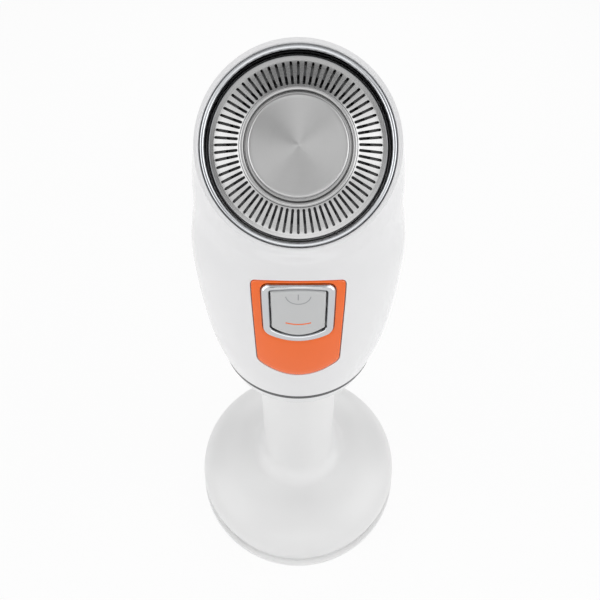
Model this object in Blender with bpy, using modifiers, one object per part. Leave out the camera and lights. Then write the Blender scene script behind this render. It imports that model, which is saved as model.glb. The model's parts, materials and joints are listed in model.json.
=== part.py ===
"""A compact hand steamer that stands on a weighted foot.

Frame: metres, +Z up, origin at the centre of the foot's underside, front towards -Y.
The body is a bent moulded housing: its sections are circles that turn from level, at the neck,
to the tilt of the steam head. The head's pieces are built in the head's own frame, whose +Z is
the head's axis and whose origin is the centre of the front rim. A "level" is a height in that
frame, so that minus means behind the rim.
"""

import math

import bmesh
import bpy
from mathutils import Matrix, Vector

mm = 0.001
GAP = 0.3 * mm  # between neighbours that touch

# ---------------------------------------------------------------- driving sizes
# Foot
FOOT_RADIUS = 60 * mm
LIP_RADIUS = 56.6 * mm  # where the lip meets the underside
LIP_HEIGHT = 7.2 * mm  # top of the lip, where the seam is
WALL_TOP = 17 * mm  # where the foot's straight wall runs into its shoulder
WALL_LEAN = 1.0 * mm
CROWN_HEIGHT = 36 * mm
CROWN_RADIUS = 33 * mm  # where the shoulder runs out into the crown
ROOT_RADIUS = 9 * mm  # fillet between crown and stem
SHELL_WALL = 2.6 * mm
SOLE_WALL = 2.4 * mm
PAD_RADIUS = 50 * mm
PAD_THICKNESS = 2 * mm
PAD_STAND = 0.8 * mm  # how far the pad stands out under the lip
SPIGOT_RISE = 2.6 * mm  # the base's locating ring above the seam
WEIGHT_INNER = 18 * mm
WEIGHT_OUTER = 40.5 * mm
WEIGHT_HEIGHT = 9.5 * mm
RIB_THICKNESS = 2.4 * mm
BASE_SCREWS = 4
BASE_SCREW_CIRCLE = 46 * mm
BASE_SCREW_RADIUS = 1.8 * mm
BASE_SCREW_HEAD = 3.3 * mm
BASE_SCREW_HEAD_HEIGHT = 1.7 * mm
BASE_SCREW_LENGTH = 12 * mm
BASE_BOSS_RADIUS = 5 * mm
BASE_BOSS_HEIGHT = 2.4 * mm
FOOT_BOSS_RADIUS = 4 * mm
GLAND_HEIGHT = 15 * mm
GLAND_RADIUS = 4 * mm
GLAND_FLANGE = 5.6 * mm
GLAND_BORE = 3.2 * mm
GLAND_STAND = 2.4 * mm
GLAND_LOCK = 1.6 * mm  # thickness of the flange inside the wall
LEAD_RADIUS = 2.9 * mm

# Stem and neck
STEM_TOP = 111 * mm  # the joint between stem and neck
STEM_TOP_RADIUS = 18.7 * mm
STEM_ROOT_RADIUS = 20 * mm
STEM_SPIGOT = 15.2 * mm
SPIGOT_HEIGHT = 8 * mm
WEB_HEIGHT = 40 * mm
WEB_THICKNESS = 3 * mm
NECK_HEIGHT = 24.6 * mm
NECK_RADIUS = 32.3 * mm
NECK_BAND = 6.2 * mm  # height of the collar's upright band, which draws in by NECK_TAPER
NECK_TAPER = 0.5 * mm
NECK_EDGE = 1.3 * mm  # rounding under the band
NECK_SLOPE = 17  # degrees by which the collar's underside falls towards the stem
NECK_ROOT = 4 * mm  # fillet between underside and stem
NECK_SPIGOT_HEIGHT = 7 * mm
NECK_SPIGOT_WALL = 2 * mm
DECK_THICKNESS = 3 * mm
TIE_RADIUS = 5 * mm
TIE_BORE = 3.5 * mm
TIE_STAND = 1.5 * mm  # thread left beyond each nut
NUT_RADIUS = 8.4 * mm  # across its corners
NUT_HEIGHT = 5 * mm

# Trim ring and housing
TRIM_RADIUS = 33.8 * mm
TRIM_HEIGHT = 2.2 * mm
HOUSING_RADII = [r * mm for r in (34.0, 37.5, 39.9, 41.2, 41.2, 38.1, 36.0, 32.4)]
HOUSING_WALL = 2.4 * mm
HOUSING_RISE = 19.5 * mm  # how strongly the housing leaves the neck upright
HOUSING_REACH = 36.5 * mm  # how strongly it runs into the head's axis
HEAD_TILT = math.radians(50)  # the head's axis leans this far forward from upright
HEAD_FORWARD = 8 * mm
HEAD_HEIGHT = 236.9 * mm
HOUSING_SIDES = 40
HOUSING_SECTIONS = 9
HEAD_SIDES = 44  # unlike HOUSING_SIDES, so that edges of the ring and the housing never fall together
PARTING_BACK = 9 * mm  # the parting line lies this far behind the stem's axis

# Housing screws
BOSS_OUT = 28.5 * mm
BOSS_HEIGHTS = (158 * mm, 202 * mm)
BOSS_RADIUS = 3.9 * mm
SCREW_RADIUS = 1.4 * mm
SCREW_HEAD = 2.6 * mm
SCREW_HEAD_HEIGHT = 1.8 * mm
SCREW_LENGTH = 20 * mm
SCREW_SEAT = 10 * mm  # how far behind the parting line the head bears

# Steam head
RIM_BAND = 1.4 * mm
RIM_ROUND = 0.7 * mm
COLLAR_DEPTH = 8 * mm  # the full ring at the front of the front housing
LEDGE_THICKNESS = 2 * mm
LEDGE_RADIUS = 28.3 * mm
BEZEL_WIDTH = 1.1 * mm
BEZEL_SINK = 0.3 * mm
PLATE_RADIUS = 27.7 * mm
PLATE_WALL = 0.9 * mm
PLATE_EDGE_LEVEL = -4.6 * mm
SKIRT_DEPTH = 4.4 * mm
SLOTS = 70
SLOT_OUTER = 26.2 * mm
SLOT_INNER = 18.8 * mm
SLOT_WIDTH = 0.85 * mm
SLOT_BAND_OUTER_LEVEL = -2.9 * mm
SLOT_BAND_INNER_LEVEL = -0.1 * mm
BEAD_RADIUS = 17.6 * mm
BEAD_HEIGHT = 0.9 * mm
BEAD_WIDTH = 1.8 * mm
DISC_RADIUS = 15.7 * mm
DISC_LEVEL = 2.3 * mm  # the disc's shoulder stands proud of the rim
DISC_CROWN = 0.5 * mm
DISC_ROUND = 0.7 * mm
DISC_FLOOR_LEVEL = -0.2 * mm  # the plate under the disc
STUD_RADIUS = 3 * mm
STUD_DEPTH = 7 * mm
DISC_NUT_RADIUS = 5.6 * mm
DISC_NUT_HEIGHT = 2.6 * mm
GASKET_WIDTH = 1.3 * mm
GASKET_STAND = 1.7 * mm
CHAMBER_FRONT_LEVEL = -6 * mm
CHAMBER_WALL = 2.2 * mm
CHAMBER_RADIUS = 25.5 * mm  # behind the skirt
CHAMBER_ROOM = 5 * mm
CHAMBER_FLOOR = 5 * mm
NOZZLE_RADIUS = 2.4 * mm
NOZZLE_LENGTH = 9 * mm
NOZZLE_DROP = 11.5 * mm
HEATER_RING = 20 * mm
HEATER_ROD = 1.7 * mm
SHIELD_WALL = 1.2 * mm
SHIELD_FLANGE = 29.3 * mm
SHIELD_OPENING = 16 * mm
THERMOSTAT_RADIUS = 6.5 * mm
THERMOSTAT_HEIGHT = 7 * mm
FUSE_RADIUS = 1.7 * mm
FUSE_LENGTH = 12 * mm
FUSE_RISE = 10.5 * mm

# Fascia and switch
FASCIA_THICKNESS = 1.2 * mm
FASCIA_TOP = 200.3 * mm  # at its corners
FASCIA_BOTTOM = 162.6 * mm
FASCIA_TOP_WIDTH = 31.6 * mm
FASCIA_BOTTOM_WIDTH = 31 * mm
FASCIA_TOP_RISE = 3.2 * mm
FASCIA_BOTTOM_DIP = 5.7 * mm
FASCIA_CORNER = 1.4 * mm
FRAME_WIDTH = 24.8 * mm
FRAME_TOP = 200.2 * mm
FRAME_BOTTOM = 179.6 * mm
FRAME_TOP_RISE = 1.4 * mm
FRAME_BOTTOM_DIP = 2.4 * mm
FRAME_BAR = 2.6 * mm
FRAME_CORNER = 2.2 * mm
FRAME_STAND = 0.9 * mm
ROCKER_CLEARANCE = 0.6 * mm
ROCKER_ROOM = 0.55 * mm  # room round the rocker inside the switch, for its swing
ROCKER_STAND = 0.5 * mm
PIVOT_DEPTH = 5.5 * mm
PIVOT_RADIUS = 1.5 * mm
SWITCH_WALL = 1.6 * mm
SWITCH_DEPTH = 15 * mm
TERMINAL_LENGTH = 5 * mm

# Tank, filler, pump and leads
TANK_FRONT = 8 * mm
TANK_BOTTOM = 152 * mm
TANK_TOP = 200 * mm
TANK_WIDTH = 44 * mm
TANK_WALL = 2 * mm
TANK_CLEARANCE = 0.8 * mm
FILLER_HEIGHT = 186 * mm
FILLER_RADIUS = 11 * mm
FILLER_BORE = 9 * mm
FILLER_FLOOR = 39 * mm  # how far behind the stem's axis the cap's recess ends
FILLER_RECESS = 14.4 * mm
FILLER_BOSS = 16.6 * mm
FILLER_BOSS_DEPTH = 4.4 * mm
NECK_STAND = 0.8 * mm
SEAL_RADIUS = 0.9 * mm
CAP_RADIUS = 13.7 * mm
CAP_THICKNESS = 2.4 * mm
CAP_PLUG = 6 * mm
CAP_GRIP_LENGTH = 23 * mm
CAP_GRIP_WIDTH = 5 * mm
CAP_GRIP_HEIGHT = 3.8 * mm
PUMP_RADIUS = 8.6 * mm
PUMP_FORWARD = 18.2 * mm
PUMP_SEAT = 146 * mm
PUMP_HEIGHT = 28 * mm
NIPPLE_RADIUS = 2.4 * mm
NIPPLE_LENGTH = 4.5 * mm
SUCTION_HEIGHT = 156 * mm
SUCTION_ASIDE = 5 * mm
BLOCK_LENGTH = 14 * mm
BLOCK_WIDTH = 12 * mm
BLOCK_HEIGHT = 9 * mm
BLOCK_ASIDE = 18 * mm

# ---------------------------------------------------------------- places that follow
NECK_BOTTOM = STEM_TOP + GAP
NECK_TOP = NECK_BOTTOM + NECK_HEIGHT
TRIM_BOTTOM = NECK_TOP + GAP
TRIM_TOP = TRIM_BOTTOM + TRIM_HEIGHT
HOUSING_START = TRIM_TOP + GAP
NECK_SPIGOT = HOUSING_RADII[0] - HOUSING_WALL - GAP
HEAD_CENTRE = Vector((0, -HEAD_FORWARD, HEAD_HEIGHT))
HEAD_AXIS = Vector((0, -math.sin(HEAD_TILT), math.cos(HEAD_TILT)))
RIM_RADIUS = HOUSING_RADII[-1]
RIM_BORE = RIM_RADIUS - RIM_BAND
LEDGE_UNDER = 0.2 * mm - COLLAR_DEPTH
LEDGE_LEVEL = LEDGE_UNDER + LEDGE_THICKNESS
BEZEL_OUTER = RIM_BORE - GAP
BEZEL_INNER = BEZEL_OUTER - BEZEL_WIDTH
SKIRT_LEVEL = PLATE_EDGE_LEVEL - SKIRT_DEPTH
CHAMBER_FLOOR_LEVEL = CHAMBER_FRONT_LEVEL - CHAMBER_ROOM
CHAMBER_BACK_LEVEL = CHAMBER_FLOOR_LEVEL - CHAMBER_FLOOR
HEATER_LEVEL = CHAMBER_BACK_LEVEL - GAP - HEATER_ROD
SHIELD_WEB_LEVEL = HEATER_LEVEL - HEATER_ROD - GAP
SHIELD_FLANGE_LEVEL = LEDGE_UNDER - GAP
PAD_TOP = PAD_THICKNESS
SOLE_UNDER = PAD_TOP + GAP
SOLE_TOP = SOLE_UNDER + SOLE_WALL
SEAM = LIP_HEIGHT + GAP
SHELL_BORE = FOOT_RADIUS - SHELL_WALL
WEIGHT_BOTTOM = SOLE_TOP + GAP
WEIGHT_TOP = WEIGHT_BOTTOM + WEIGHT_HEIGHT


# ---------------------------------------------------------------- helpers
def collection(name):
    made = bpy.data.collections.new(name)
    bpy.context.scene.collection.children.link(made)
    return made


for leftover in list(bpy.data.objects):
    bpy.data.objects.remove(leftover, do_unlink=True)
PARTS = collection("hand_steamer")
CUTTERS = collection("cutters")


def material(name, colour, roughness, metallic=0.0):
    made = bpy.data.materials.new(name)
    made.use_nodes = True
    shader = made.node_tree.nodes["Principled BSDF"]
    shader.inputs["Base Color"].default_value = (*colour, 1)
    shader.inputs["Roughness"].default_value = roughness
    shader.inputs["Metallic"].default_value = metallic
    made.diffuse_color = (*colour, 1)
    return made


GLOSSY_WHITE = material("glossy_white_abs", (0.86, 0.86, 0.85), 0.12)
SATIN_WHITE = material("satin_white_abs", (0.80, 0.80, 0.79), 0.38)
TRIM_GREY = material("dark_grey_plastic", (0.10, 0.10, 0.10), 0.30)
ORANGE = material("glossy_orange_plastic", (1.0, 0.19, 0.025), 0.15)
LIGHT_GREY = material("light_grey_plastic", (0.62, 0.62, 0.62), 0.30)
CHROME = material("chrome_plating", (0.80, 0.80, 0.80), 0.06, 1.0)
STAINLESS = material("spun_stainless_steel", (0.58, 0.57, 0.55), 0.28, 1.0)
CAST_ALUMINIUM = material("die_cast_aluminium", (0.55, 0.55, 0.55), 0.45, 1.0)
CAST_IRON = material("cast_iron", (0.10, 0.10, 0.11), 0.60, 0.9)
STEEL = material("zinc_plated_steel", (0.60, 0.60, 0.62), 0.30, 1.0)
RUBBER = material("black_rubber", (0.02, 0.02, 0.02), 0.70)
SILICONE = material("translucent_silicone", (0.75, 0.76, 0.76), 0.35)
PHENOLIC = material("brown_phenolic", (0.16, 0.08, 0.04), 0.50)
MILKY = material("milky_polypropylene", (0.78, 0.82, 0.84), 0.30)


def frame_at(name, place, lean):
    """An empty that pieces are built in: its +Z leans forward from upright by that angle."""
    empty = bpy.data.objects.new(name, None)
    PARTS.objects.link(empty)
    empty.location = place
    empty.rotation_euler = (lean, 0, 0)
    return empty


def add(name, mesh, finish=None, frame=None):
    thing = bpy.data.objects.new(name, mesh)
    PARTS.objects.link(thing)
    thing.parent = frame
    if finish is not None:
        mesh.materials.append(finish)
    return thing


def smooth(thing, degrees=35):
    thing.data.shade_smooth()
    thing.data.set_sharp_from_angle(angle=math.radians(degrees))
    return thing


def mesh_from(work, name):
    bmesh.ops.recalc_face_normals(work, faces=work.faces)
    mesh = bpy.data.meshes.new(name)
    work.to_mesh(mesh)
    work.free()
    return mesh


def turned(name, profile, finish=None, frame=None, steps=40, closed=True):
    """A profile of (radius, height) turned round Z. It runs down its outer side first."""
    mesh = bpy.data.meshes.new(name)
    edges = [(i, i + 1) for i in range(len(profile) - 1)]
    if closed:
        edges.append((len(profile) - 1, 0))
    mesh.from_pydata([(radius, 0, height) for radius, height in profile], edges, [])
    thing = add(name, mesh, finish, frame)
    screw = thing.modifiers.new("turn", "SCREW")
    screw.angle = math.tau
    screw.steps = steps
    screw.render_steps = steps
    screw.use_merge_vertices = True
    screw.merge_threshold = 0.00001
    return thing


def disc(name, profile, finish=None, frame=None, steps=40):
    """A turned piece whose profile starts and ends on its axis."""
    return turned(name, profile, finish, frame, steps, closed=False)


def rod(name, radius, low, high, finish=None, frame=None, at=(0, 0), sides=24, along="Z"):
    """A round bar from low to high along an axis. 'at' is its place on the other two axes, in order."""
    work = bmesh.new()
    bmesh.ops.create_cone(work, cap_ends=True, segments=sides, radius1=radius, radius2=radius, depth=high - low)
    middle = (low + high) / 2
    if along == "X":
        bmesh.ops.rotate(work, verts=work.verts, matrix=Matrix.Rotation(math.pi / 2, 3, "Y"))
        place = (middle, *at)
    elif along == "Y":
        bmesh.ops.rotate(work, verts=work.verts, matrix=Matrix.Rotation(math.pi / 2, 3, "X"))
        place = (at[0], middle, at[1])
    else:
        place = (*at, middle)
    bmesh.ops.translate(work, verts=work.verts, vec=place)
    return smooth(add(name, mesh_from(work, name), finish, frame))


def block(name, low, high, finish=None, frame=None):
    """A box between two opposite corners."""
    work = bmesh.new()
    bmesh.ops.create_cube(work, size=1)
    bmesh.ops.scale(work, verts=work.verts, vec=[b - a for a, b in zip(low, high)])
    bmesh.ops.translate(work, verts=work.verts, vec=[(a + b) / 2 for a, b in zip(low, high)])
    return add(name, mesh_from(work, name), finish, frame)


def round_edges(thing, width, segments=2):
    bevel = thing.modifiers.new("round_edges", "BEVEL")
    bevel.width = width
    bevel.segments = segments
    bevel.limit_method = "ANGLE"
    bevel.angle_limit = math.radians(35)
    return thing


def boolean(thing, others, operation):
    for other in others:
        for owner in list(other.users_collection):
            owner.objects.unlink(other)
        CUTTERS.objects.link(other)
        other.hide_render = True
        other.display_type = "WIRE"
        modifier = thing.modifiers.new(operation.lower(), "BOOLEAN")
        modifier.operation = operation
        modifier.object = other
        modifier.solver = "EXACT"
    return thing


def cut(thing, *others):
    return boolean(thing, others, "DIFFERENCE")


def join(thing, *others):
    return boolean(thing, others, "UNION")


def keep_within(thing, *others):
    return boolean(thing, others, "INTERSECT")


def arc(centre, radii, start, end, count=6):
    """Points on an ellipse from one angle to another, in degrees."""
    points = []
    for i in range(count + 1):
        angle = math.radians(start + (end - start) * i / count)
        points.append((centre[0] + radii[0] * math.cos(angle), centre[1] + radii[1] * math.sin(angle)))
    return points


def tube(name, points, radius, finish):
    """A hose or lead along a smooth curve through the points."""
    curve = bpy.data.curves.new(name, "CURVE")
    curve.dimensions = "3D"
    curve.bevel_depth = radius
    curve.bevel_resolution = 2
    curve.use_fill_caps = True
    curve.resolution_u = 2
    spline = curve.splines.new("BEZIER")
    spline.bezier_points.add(len(points) - 1)
    for knot, point in zip(spline.bezier_points, points):
        knot.co = point
        knot.handle_left_type = "AUTO"
        knot.handle_right_type = "AUTO"
    return add(name, curve, finish)


def prism(name, outline, low, high, finish=None, frame=None):
    """A solid with an outline of (x, y) points, from low to high along Z."""
    curve = bpy.data.curves.new(name, "CURVE")
    curve.dimensions = "2D"
    curve.fill_mode = "BOTH"
    curve.extrude = (high - low) / 2
    spline = curve.splines.new("POLY")
    spline.points.add(len(outline) - 1)
    for knot, (x, y) in zip(spline.points, outline):
        knot.co = (x, y, 0, 1)
    spline.use_cyclic_u = True
    drawn = add(name, curve)
    graph = bpy.context.evaluated_depsgraph_get()
    mesh = bpy.data.meshes.new_from_object(drawn.evaluated_get(graph))
    bpy.data.objects.remove(drawn)
    work = bmesh.new()
    work.from_mesh(mesh)
    bmesh.ops.remove_doubles(work, verts=work.verts, dist=1e-6)
    bmesh.ops.translate(work, verts=work.verts, vec=(0, 0, (low + high) / 2))
    return add(name, mesh_from(work, name), finish, frame)


def rounded(corners, radius, count=4):
    """The outline through the corners, each of them rounded."""
    points = []
    for i, corner in enumerate(corners):
        here = Vector(corner)
        before = (Vector(corners[i - 1]) - here).normalized()
        after = (Vector(corners[(i + 1) % len(corners)]) - here).normalized()
        reach = radius / math.tan(before.angle(after) / 2)
        first = here + before * reach
        last = here + after * reach
        for k in range(count + 1):
            t = k / count
            points.append(tuple((1 - t) ** 2 * first + 2 * (1 - t) * t * here + t * t * last))
    return points


# ---------------------------------------------------------------- the bent housing's form
def path(u):
    """(middle, direction) of the housing at u, from 0 at the trim ring to 1 at the front rim."""
    start = Vector((0, 0, HOUSING_START))
    rise = start + Vector((0, 0, HOUSING_RISE))
    reach = HEAD_CENTRE - HEAD_AXIS * HOUSING_REACH
    v = 1 - u
    middle = v**3 * start + 3 * v * v * u * rise + 3 * v * u * u * reach + u**3 * HEAD_CENTRE
    along = v * v * (rise - start) + 2 * v * u * (reach - rise) + u * u * (HEAD_CENTRE - reach)
    return middle, along.normalized()


def section_radius(u):
    """The section's radius at u, on a smooth line through HOUSING_RADII."""
    last = len(HOUSING_RADII) - 1
    i = min(int(u * last), last - 1)
    t = u * last - i
    before, here, after, beyond = (HOUSING_RADII[min(max(k, 0), last)] for k in range(i - 1, i + 3))
    leave = (after - before) / 2 if i > 0 else after - here
    arrive = (beyond - here) / 2 if i < last - 1 else after - here
    start = (2 * t**3 - 3 * t**2 + 1) * here + (t**3 - 2 * t**2 + t) * leave
    return start + (3 * t**2 - 2 * t**3) * after + (t**3 - t**2) * arrive


def section_point(u, offset, angle):
    """A point of the housing grown by offset. Angle 0 is at +X and a quarter turn is at the back."""
    middle, along = path(u)
    across = Vector((1, 0, 0))
    back = along.cross(across)
    return middle + (section_radius(u) + offset) * (math.cos(angle) * across + math.sin(angle) * back)


def rings_of(work, offset, backwards=False):
    rings = []
    for i in range(HOUSING_SECTIONS + 1):
        u = i / HOUSING_SECTIONS
        turn = [math.tau * k / HOUSING_SIDES for k in range(HOUSING_SIDES)]
        rings.append([work.verts.new(section_point(u, offset, angle)) for angle in turn])
    return rings[::-1] if backwards else rings


def skin(work, rings):
    for one, other in zip(rings, rings[1:]):
        for i in range(HOUSING_SIDES):
            j = (i + 1) % HOUSING_SIDES
            work.faces.new((one[i], one[j], other[j], other[i]))


def bent_shell(name, outer, inner, finish=None):
    """A wall that follows the housing between two offsets, open at both ends."""
    work = bmesh.new()
    outside = rings_of(work, outer)
    inside = rings_of(work, inner, backwards=True)
    skin(work, outside + inside + outside[:1])
    return smooth(add(name, mesh_from(work, name), finish))


def bent_solid(name, offset, finish=None):
    """The housing's form as a solid, grown by offset."""
    work = bmesh.new()
    rings = rings_of(work, offset)
    skin(work, rings)
    work.faces.new(rings[0])
    work.faces.new(rings[-1])
    return smooth(add(name, mesh_from(work, name), finish))


def line_at(height, side):
    """The housing's front (-1) or back (+1) line at a height: its Y and its slope dY/dZ."""
    points = [section_point(i / 200, 0, side * math.pi / 2) for i in range(201)]
    near = min(range(1, 200), key=lambda i: abs(points[i].z - height))
    step = points[near + 1] - points[near - 1]
    here = points[near]
    slope = step.y / step.z
    return here.y + slope * (height - here.z), slope


HEAD = frame_at("head", HEAD_CENTRE, HEAD_TILT)
FACE_ON = math.pi / 2  # a frame with this lean has its +Z forwards and its +Y up


# ---------------------------------------------------------------- foot
def foot_outside(grow, root_steps=4, shoulder_steps=6):
    """The foot's and stem's outer profile above the seam, grown by an amount."""
    shoulder = (CROWN_RADIUS, WALL_TOP)
    sweep = (FOOT_RADIUS - WALL_LEAN - CROWN_RADIUS + grow, CROWN_HEIGHT - WALL_TOP + grow)
    root = (STEM_ROOT_RADIUS + ROOT_RADIUS, CROWN_HEIGHT + ROOT_RADIUS)
    bend = ROOT_RADIUS - grow
    points = [(STEM_TOP_RADIUS + grow, STEM_TOP)]
    points += arc(root, (bend, bend), 180, 270, root_steps)
    points += arc(shoulder, sweep, 90, 0, shoulder_steps)
    return points + [(FOOT_RADIUS + grow, SEAM)]


def pedestal():
    outside = foot_outside(0)
    inside = foot_outside(-SHELL_WALL, 2, 4)[::-1]
    stem_bore = STEM_TOP_RADIUS - SHELL_WALL
    root_bore = STEM_ROOT_RADIUS - SHELL_WALL
    below_web = [point for point in inside if point[1] < WEB_HEIGHT - mm]
    profile = [(STEM_SPIGOT, STEM_TOP + SPIGOT_HEIGHT), (STEM_SPIGOT, STEM_TOP)]
    profile += outside + below_web
    profile += [
        (root_bore, WEB_HEIGHT),
        (TIE_RADIUS + GAP, WEB_HEIGHT),
        (TIE_RADIUS + GAP, WEB_HEIGHT + WEB_THICKNESS),
        (root_bore - 0.4 * mm, WEB_HEIGHT + WEB_THICKNESS),
        (stem_bore, STEM_TOP - 5 * mm),
        (STEM_SPIGOT - SHELL_WALL, STEM_TOP - 1 * mm),
        (STEM_SPIGOT - SHELL_WALL, STEM_TOP + SPIGOT_HEIGHT),
    ]
    made = turned("pedestal", profile, SATIN_WHITE)
    join(made, *[foot_boss(i) for i in range(BASE_SCREWS)])
    join(made, *[weight_rib(i) for i in range(BASE_SCREWS)])
    pilot = BASE_SCREW_RADIUS + GAP
    depth = SOLE_TOP + BASE_SCREW_LENGTH + 2 * mm
    for i in range(BASE_SCREWS):
        cut(made, rod(f"pilot_{i}", pilot, SOLE_TOP, depth, at=screw_place(i), sides=12))
    hole = rod("gland_hole", GLAND_RADIUS + GAP, SHELL_BORE - 8 * mm, FOOT_RADIUS + 5 * mm,
               at=(0, GLAND_HEIGHT), along="Y", sides=24)
    return smooth(cut(made, hole))


def screw_place(i):
    angle = math.tau * (i + 0.5) / BASE_SCREWS
    return (BASE_SCREW_CIRCLE * math.cos(angle), BASE_SCREW_CIRCLE * math.sin(angle))


def foot_boss(i):
    """A column under the foot's shoulder that takes a base screw."""
    bottom = SOLE_TOP + BASE_BOSS_HEIGHT + GAP
    column = rod(f"foot_boss_{i}", FOOT_BOSS_RADIUS, bottom, CROWN_HEIGHT, at=screw_place(i), sides=12)
    return keep_within(column, foot_form(f"foot_boss_{i}_limit"))


def weight_rib(i):
    """A rib that holds the counterweight down."""
    reach = BASE_SCREW_CIRCLE
    rib = block(f"weight_rib_{i}", (STEM_ROOT_RADIUS + 6 * mm, -RIB_THICKNESS / 2, WEIGHT_TOP + GAP),
                (reach, RIB_THICKNESS / 2, CROWN_HEIGHT))
    rib.rotation_euler = (0, 0, math.tau * (i + 0.5) / BASE_SCREWS)
    return keep_within(rib, foot_form(f"weight_rib_{i}_limit"))


def foot_form(name):
    """The foot as a solid a little inside its outer face, for what must stay within the wall."""
    points = foot_outside(-SHELL_WALL / 2, 2, 5)
    return disc(name, [(0, points[0][1])] + points + [(0, points[-1][1])], steps=20)


def foot_base():
    """The pan under the foot: the lip below the seam, the sole and the ring that locates the shell."""
    ring_outer = SHELL_BORE - WALL_LEAN
    ring_inner = ring_outer - SHELL_WALL
    ring_top = LIP_HEIGHT + SPIGOT_RISE
    profile = [
        (0, SOLE_TOP),
        (ring_inner, SOLE_TOP),
        (ring_inner, ring_top),
        (ring_outer - 0.5 * mm, ring_top),
        (ring_outer, ring_top - 0.8 * mm),
        (ring_outer, LIP_HEIGHT),
        (FOOT_RADIUS - 0.4 * mm, LIP_HEIGHT),
    ]
    profile += arc((LIP_RADIUS, LIP_HEIGHT - 0.4 * mm),
                   (FOOT_RADIUS - LIP_RADIUS, LIP_HEIGHT - 0.4 * mm - PAD_STAND), 0, -90, 4)
    profile += [(PAD_RADIUS + GAP, PAD_STAND), (PAD_RADIUS + GAP, SOLE_UNDER), (0, SOLE_UNDER)]
    made = disc("foot_base", profile, SATIN_WHITE)
    boss_top = SOLE_TOP + BASE_BOSS_HEIGHT
    for i in range(BASE_SCREWS):
        at = screw_place(i)
        join(made, rod(f"base_boss_{i}", BASE_BOSS_RADIUS, SOLE_UNDER + 1 * mm, boss_top, at=at, sides=12))
        cut(made, rod(f"head_well_{i}", BASE_SCREW_HEAD + GAP, 0, screw_bearing(), at=at, sides=12))
        cut(made, rod(f"shank_hole_{i}", BASE_SCREW_RADIUS + GAP, 0, boss_top + mm, at=at, sides=12))
    return smooth(made)


def screw_bearing():
    """The height at which a base screw's head bears on the base."""
    return SOLE_UNDER + BASE_SCREW_HEAD_HEIGHT + 2 * GAP


def base_screw(i):
    x, y = screw_place(i)
    top = screw_bearing() - GAP
    low = top - BASE_SCREW_HEAD_HEIGHT
    profile = [
        (0, top + BASE_SCREW_LENGTH),
        (BASE_SCREW_RADIUS - 0.5 * mm, top + BASE_SCREW_LENGTH),
        (BASE_SCREW_RADIUS, top + BASE_SCREW_LENGTH - 0.8 * mm),
        (BASE_SCREW_RADIUS, top),
        (BASE_SCREW_HEAD, top),
        (BASE_SCREW_HEAD, low + 0.5 * mm),
        (BASE_SCREW_HEAD - 0.5 * mm, low),
        (1.3 * mm, low),
        (0, low + 0.9 * mm),
    ]
    made = disc(f"base_screw_{i + 1}", profile, STEEL, steps=10)
    made.location = (x, y, 0)
    return smooth(made)


def counterweight():
    edge = 1.2 * mm
    profile = [
        (WEIGHT_INNER + edge, WEIGHT_TOP),
        (WEIGHT_OUTER - edge, WEIGHT_TOP),
        (WEIGHT_OUTER, WEIGHT_TOP - edge),
        (WEIGHT_OUTER, WEIGHT_BOTTOM + edge),
        (WEIGHT_OUTER - edge, WEIGHT_BOTTOM),
        (WEIGHT_INNER + edge, WEIGHT_BOTTOM),
        (WEIGHT_INNER, WEIGHT_BOTTOM + edge),
        (WEIGHT_INNER, WEIGHT_TOP - edge),
    ]
    return smooth(turned("counterweight", profile, CAST_IRON, steps=24))


def foot_pad():
    profile = [(0, PAD_TOP), (PAD_RADIUS, PAD_TOP), (PAD_RADIUS, 0.4 * mm), (PAD_RADIUS - 0.4 * mm, 0), (0, 0)]
    return smooth(disc("foot_pad", profile, RUBBER, steps=32))


def cord_gland():
    """The bushing at the back of the foot, built along Z and laid along Y."""
    outer_face = FOOT_RADIUS + GAP / 2
    inner_face = gland_end() + GLAND_LOCK
    tip = FOOT_RADIUS + GLAND_STAND
    profile = [(GLAND_BORE, tip)]
    profile += arc((GLAND_FLANGE - 1 * mm, tip - 1 * mm), (1 * mm, 1 * mm), 90, 0, 2)
    profile += [
        (GLAND_FLANGE, outer_face),
        (GLAND_RADIUS, outer_face),
        (GLAND_RADIUS, inner_face),
        (GLAND_FLANGE - 0.6 * mm, inner_face),
        (GLAND_FLANGE - 1.4 * mm, gland_end()),
        (GLAND_BORE, gland_end()),
    ]
    made = turned("cord_gland", profile, RUBBER, steps=20)
    made.location = (0, 0, GLAND_HEIGHT)
    made.rotation_euler = (-math.pi / 2, 0, 0)
    return smooth(made)


def gland_end():
    """How far behind the stem's axis the gland's inner end lies."""
    return SHELL_BORE - WALL_LEAN - 3 * GAP - GLAND_LOCK


# ---------------------------------------------------------------- stem and neck
def neck_collar():
    spigot_top = NECK_TOP + NECK_SPIGOT_HEIGHT
    spigot_bore = NECK_SPIGOT - NECK_SPIGOT_WALL
    deck = NECK_TOP - DECK_THICKNESS
    socket = STEM_SPIGOT + GAP
    profile = [
        (NECK_SPIGOT - 0.5 * mm, spigot_top),
        (NECK_SPIGOT, spigot_top - 1 * mm),
        (NECK_SPIGOT, NECK_TOP),
        (NECK_RADIUS, NECK_TOP),
    ]
    profile += neck_outside()
    profile += [
        (STEM_TOP_RADIUS, NECK_BOTTOM),
        (socket, NECK_BOTTOM),
        (socket, deck),
        (TIE_RADIUS + GAP, deck),
        (TIE_RADIUS + GAP, NECK_TOP),
        (spigot_bore, NECK_TOP),
        (spigot_bore, spigot_top),
    ]
    post = rod("pump_post", PUMP_RADIUS - 0.6 * mm, deck + 1 * mm, PUMP_SEAT - GAP, at=(0, -PUMP_FORWARD), sides=24)
    return smooth(join(turned("neck_collar", profile, GLOSSY_WHITE, steps=36), post))


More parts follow.
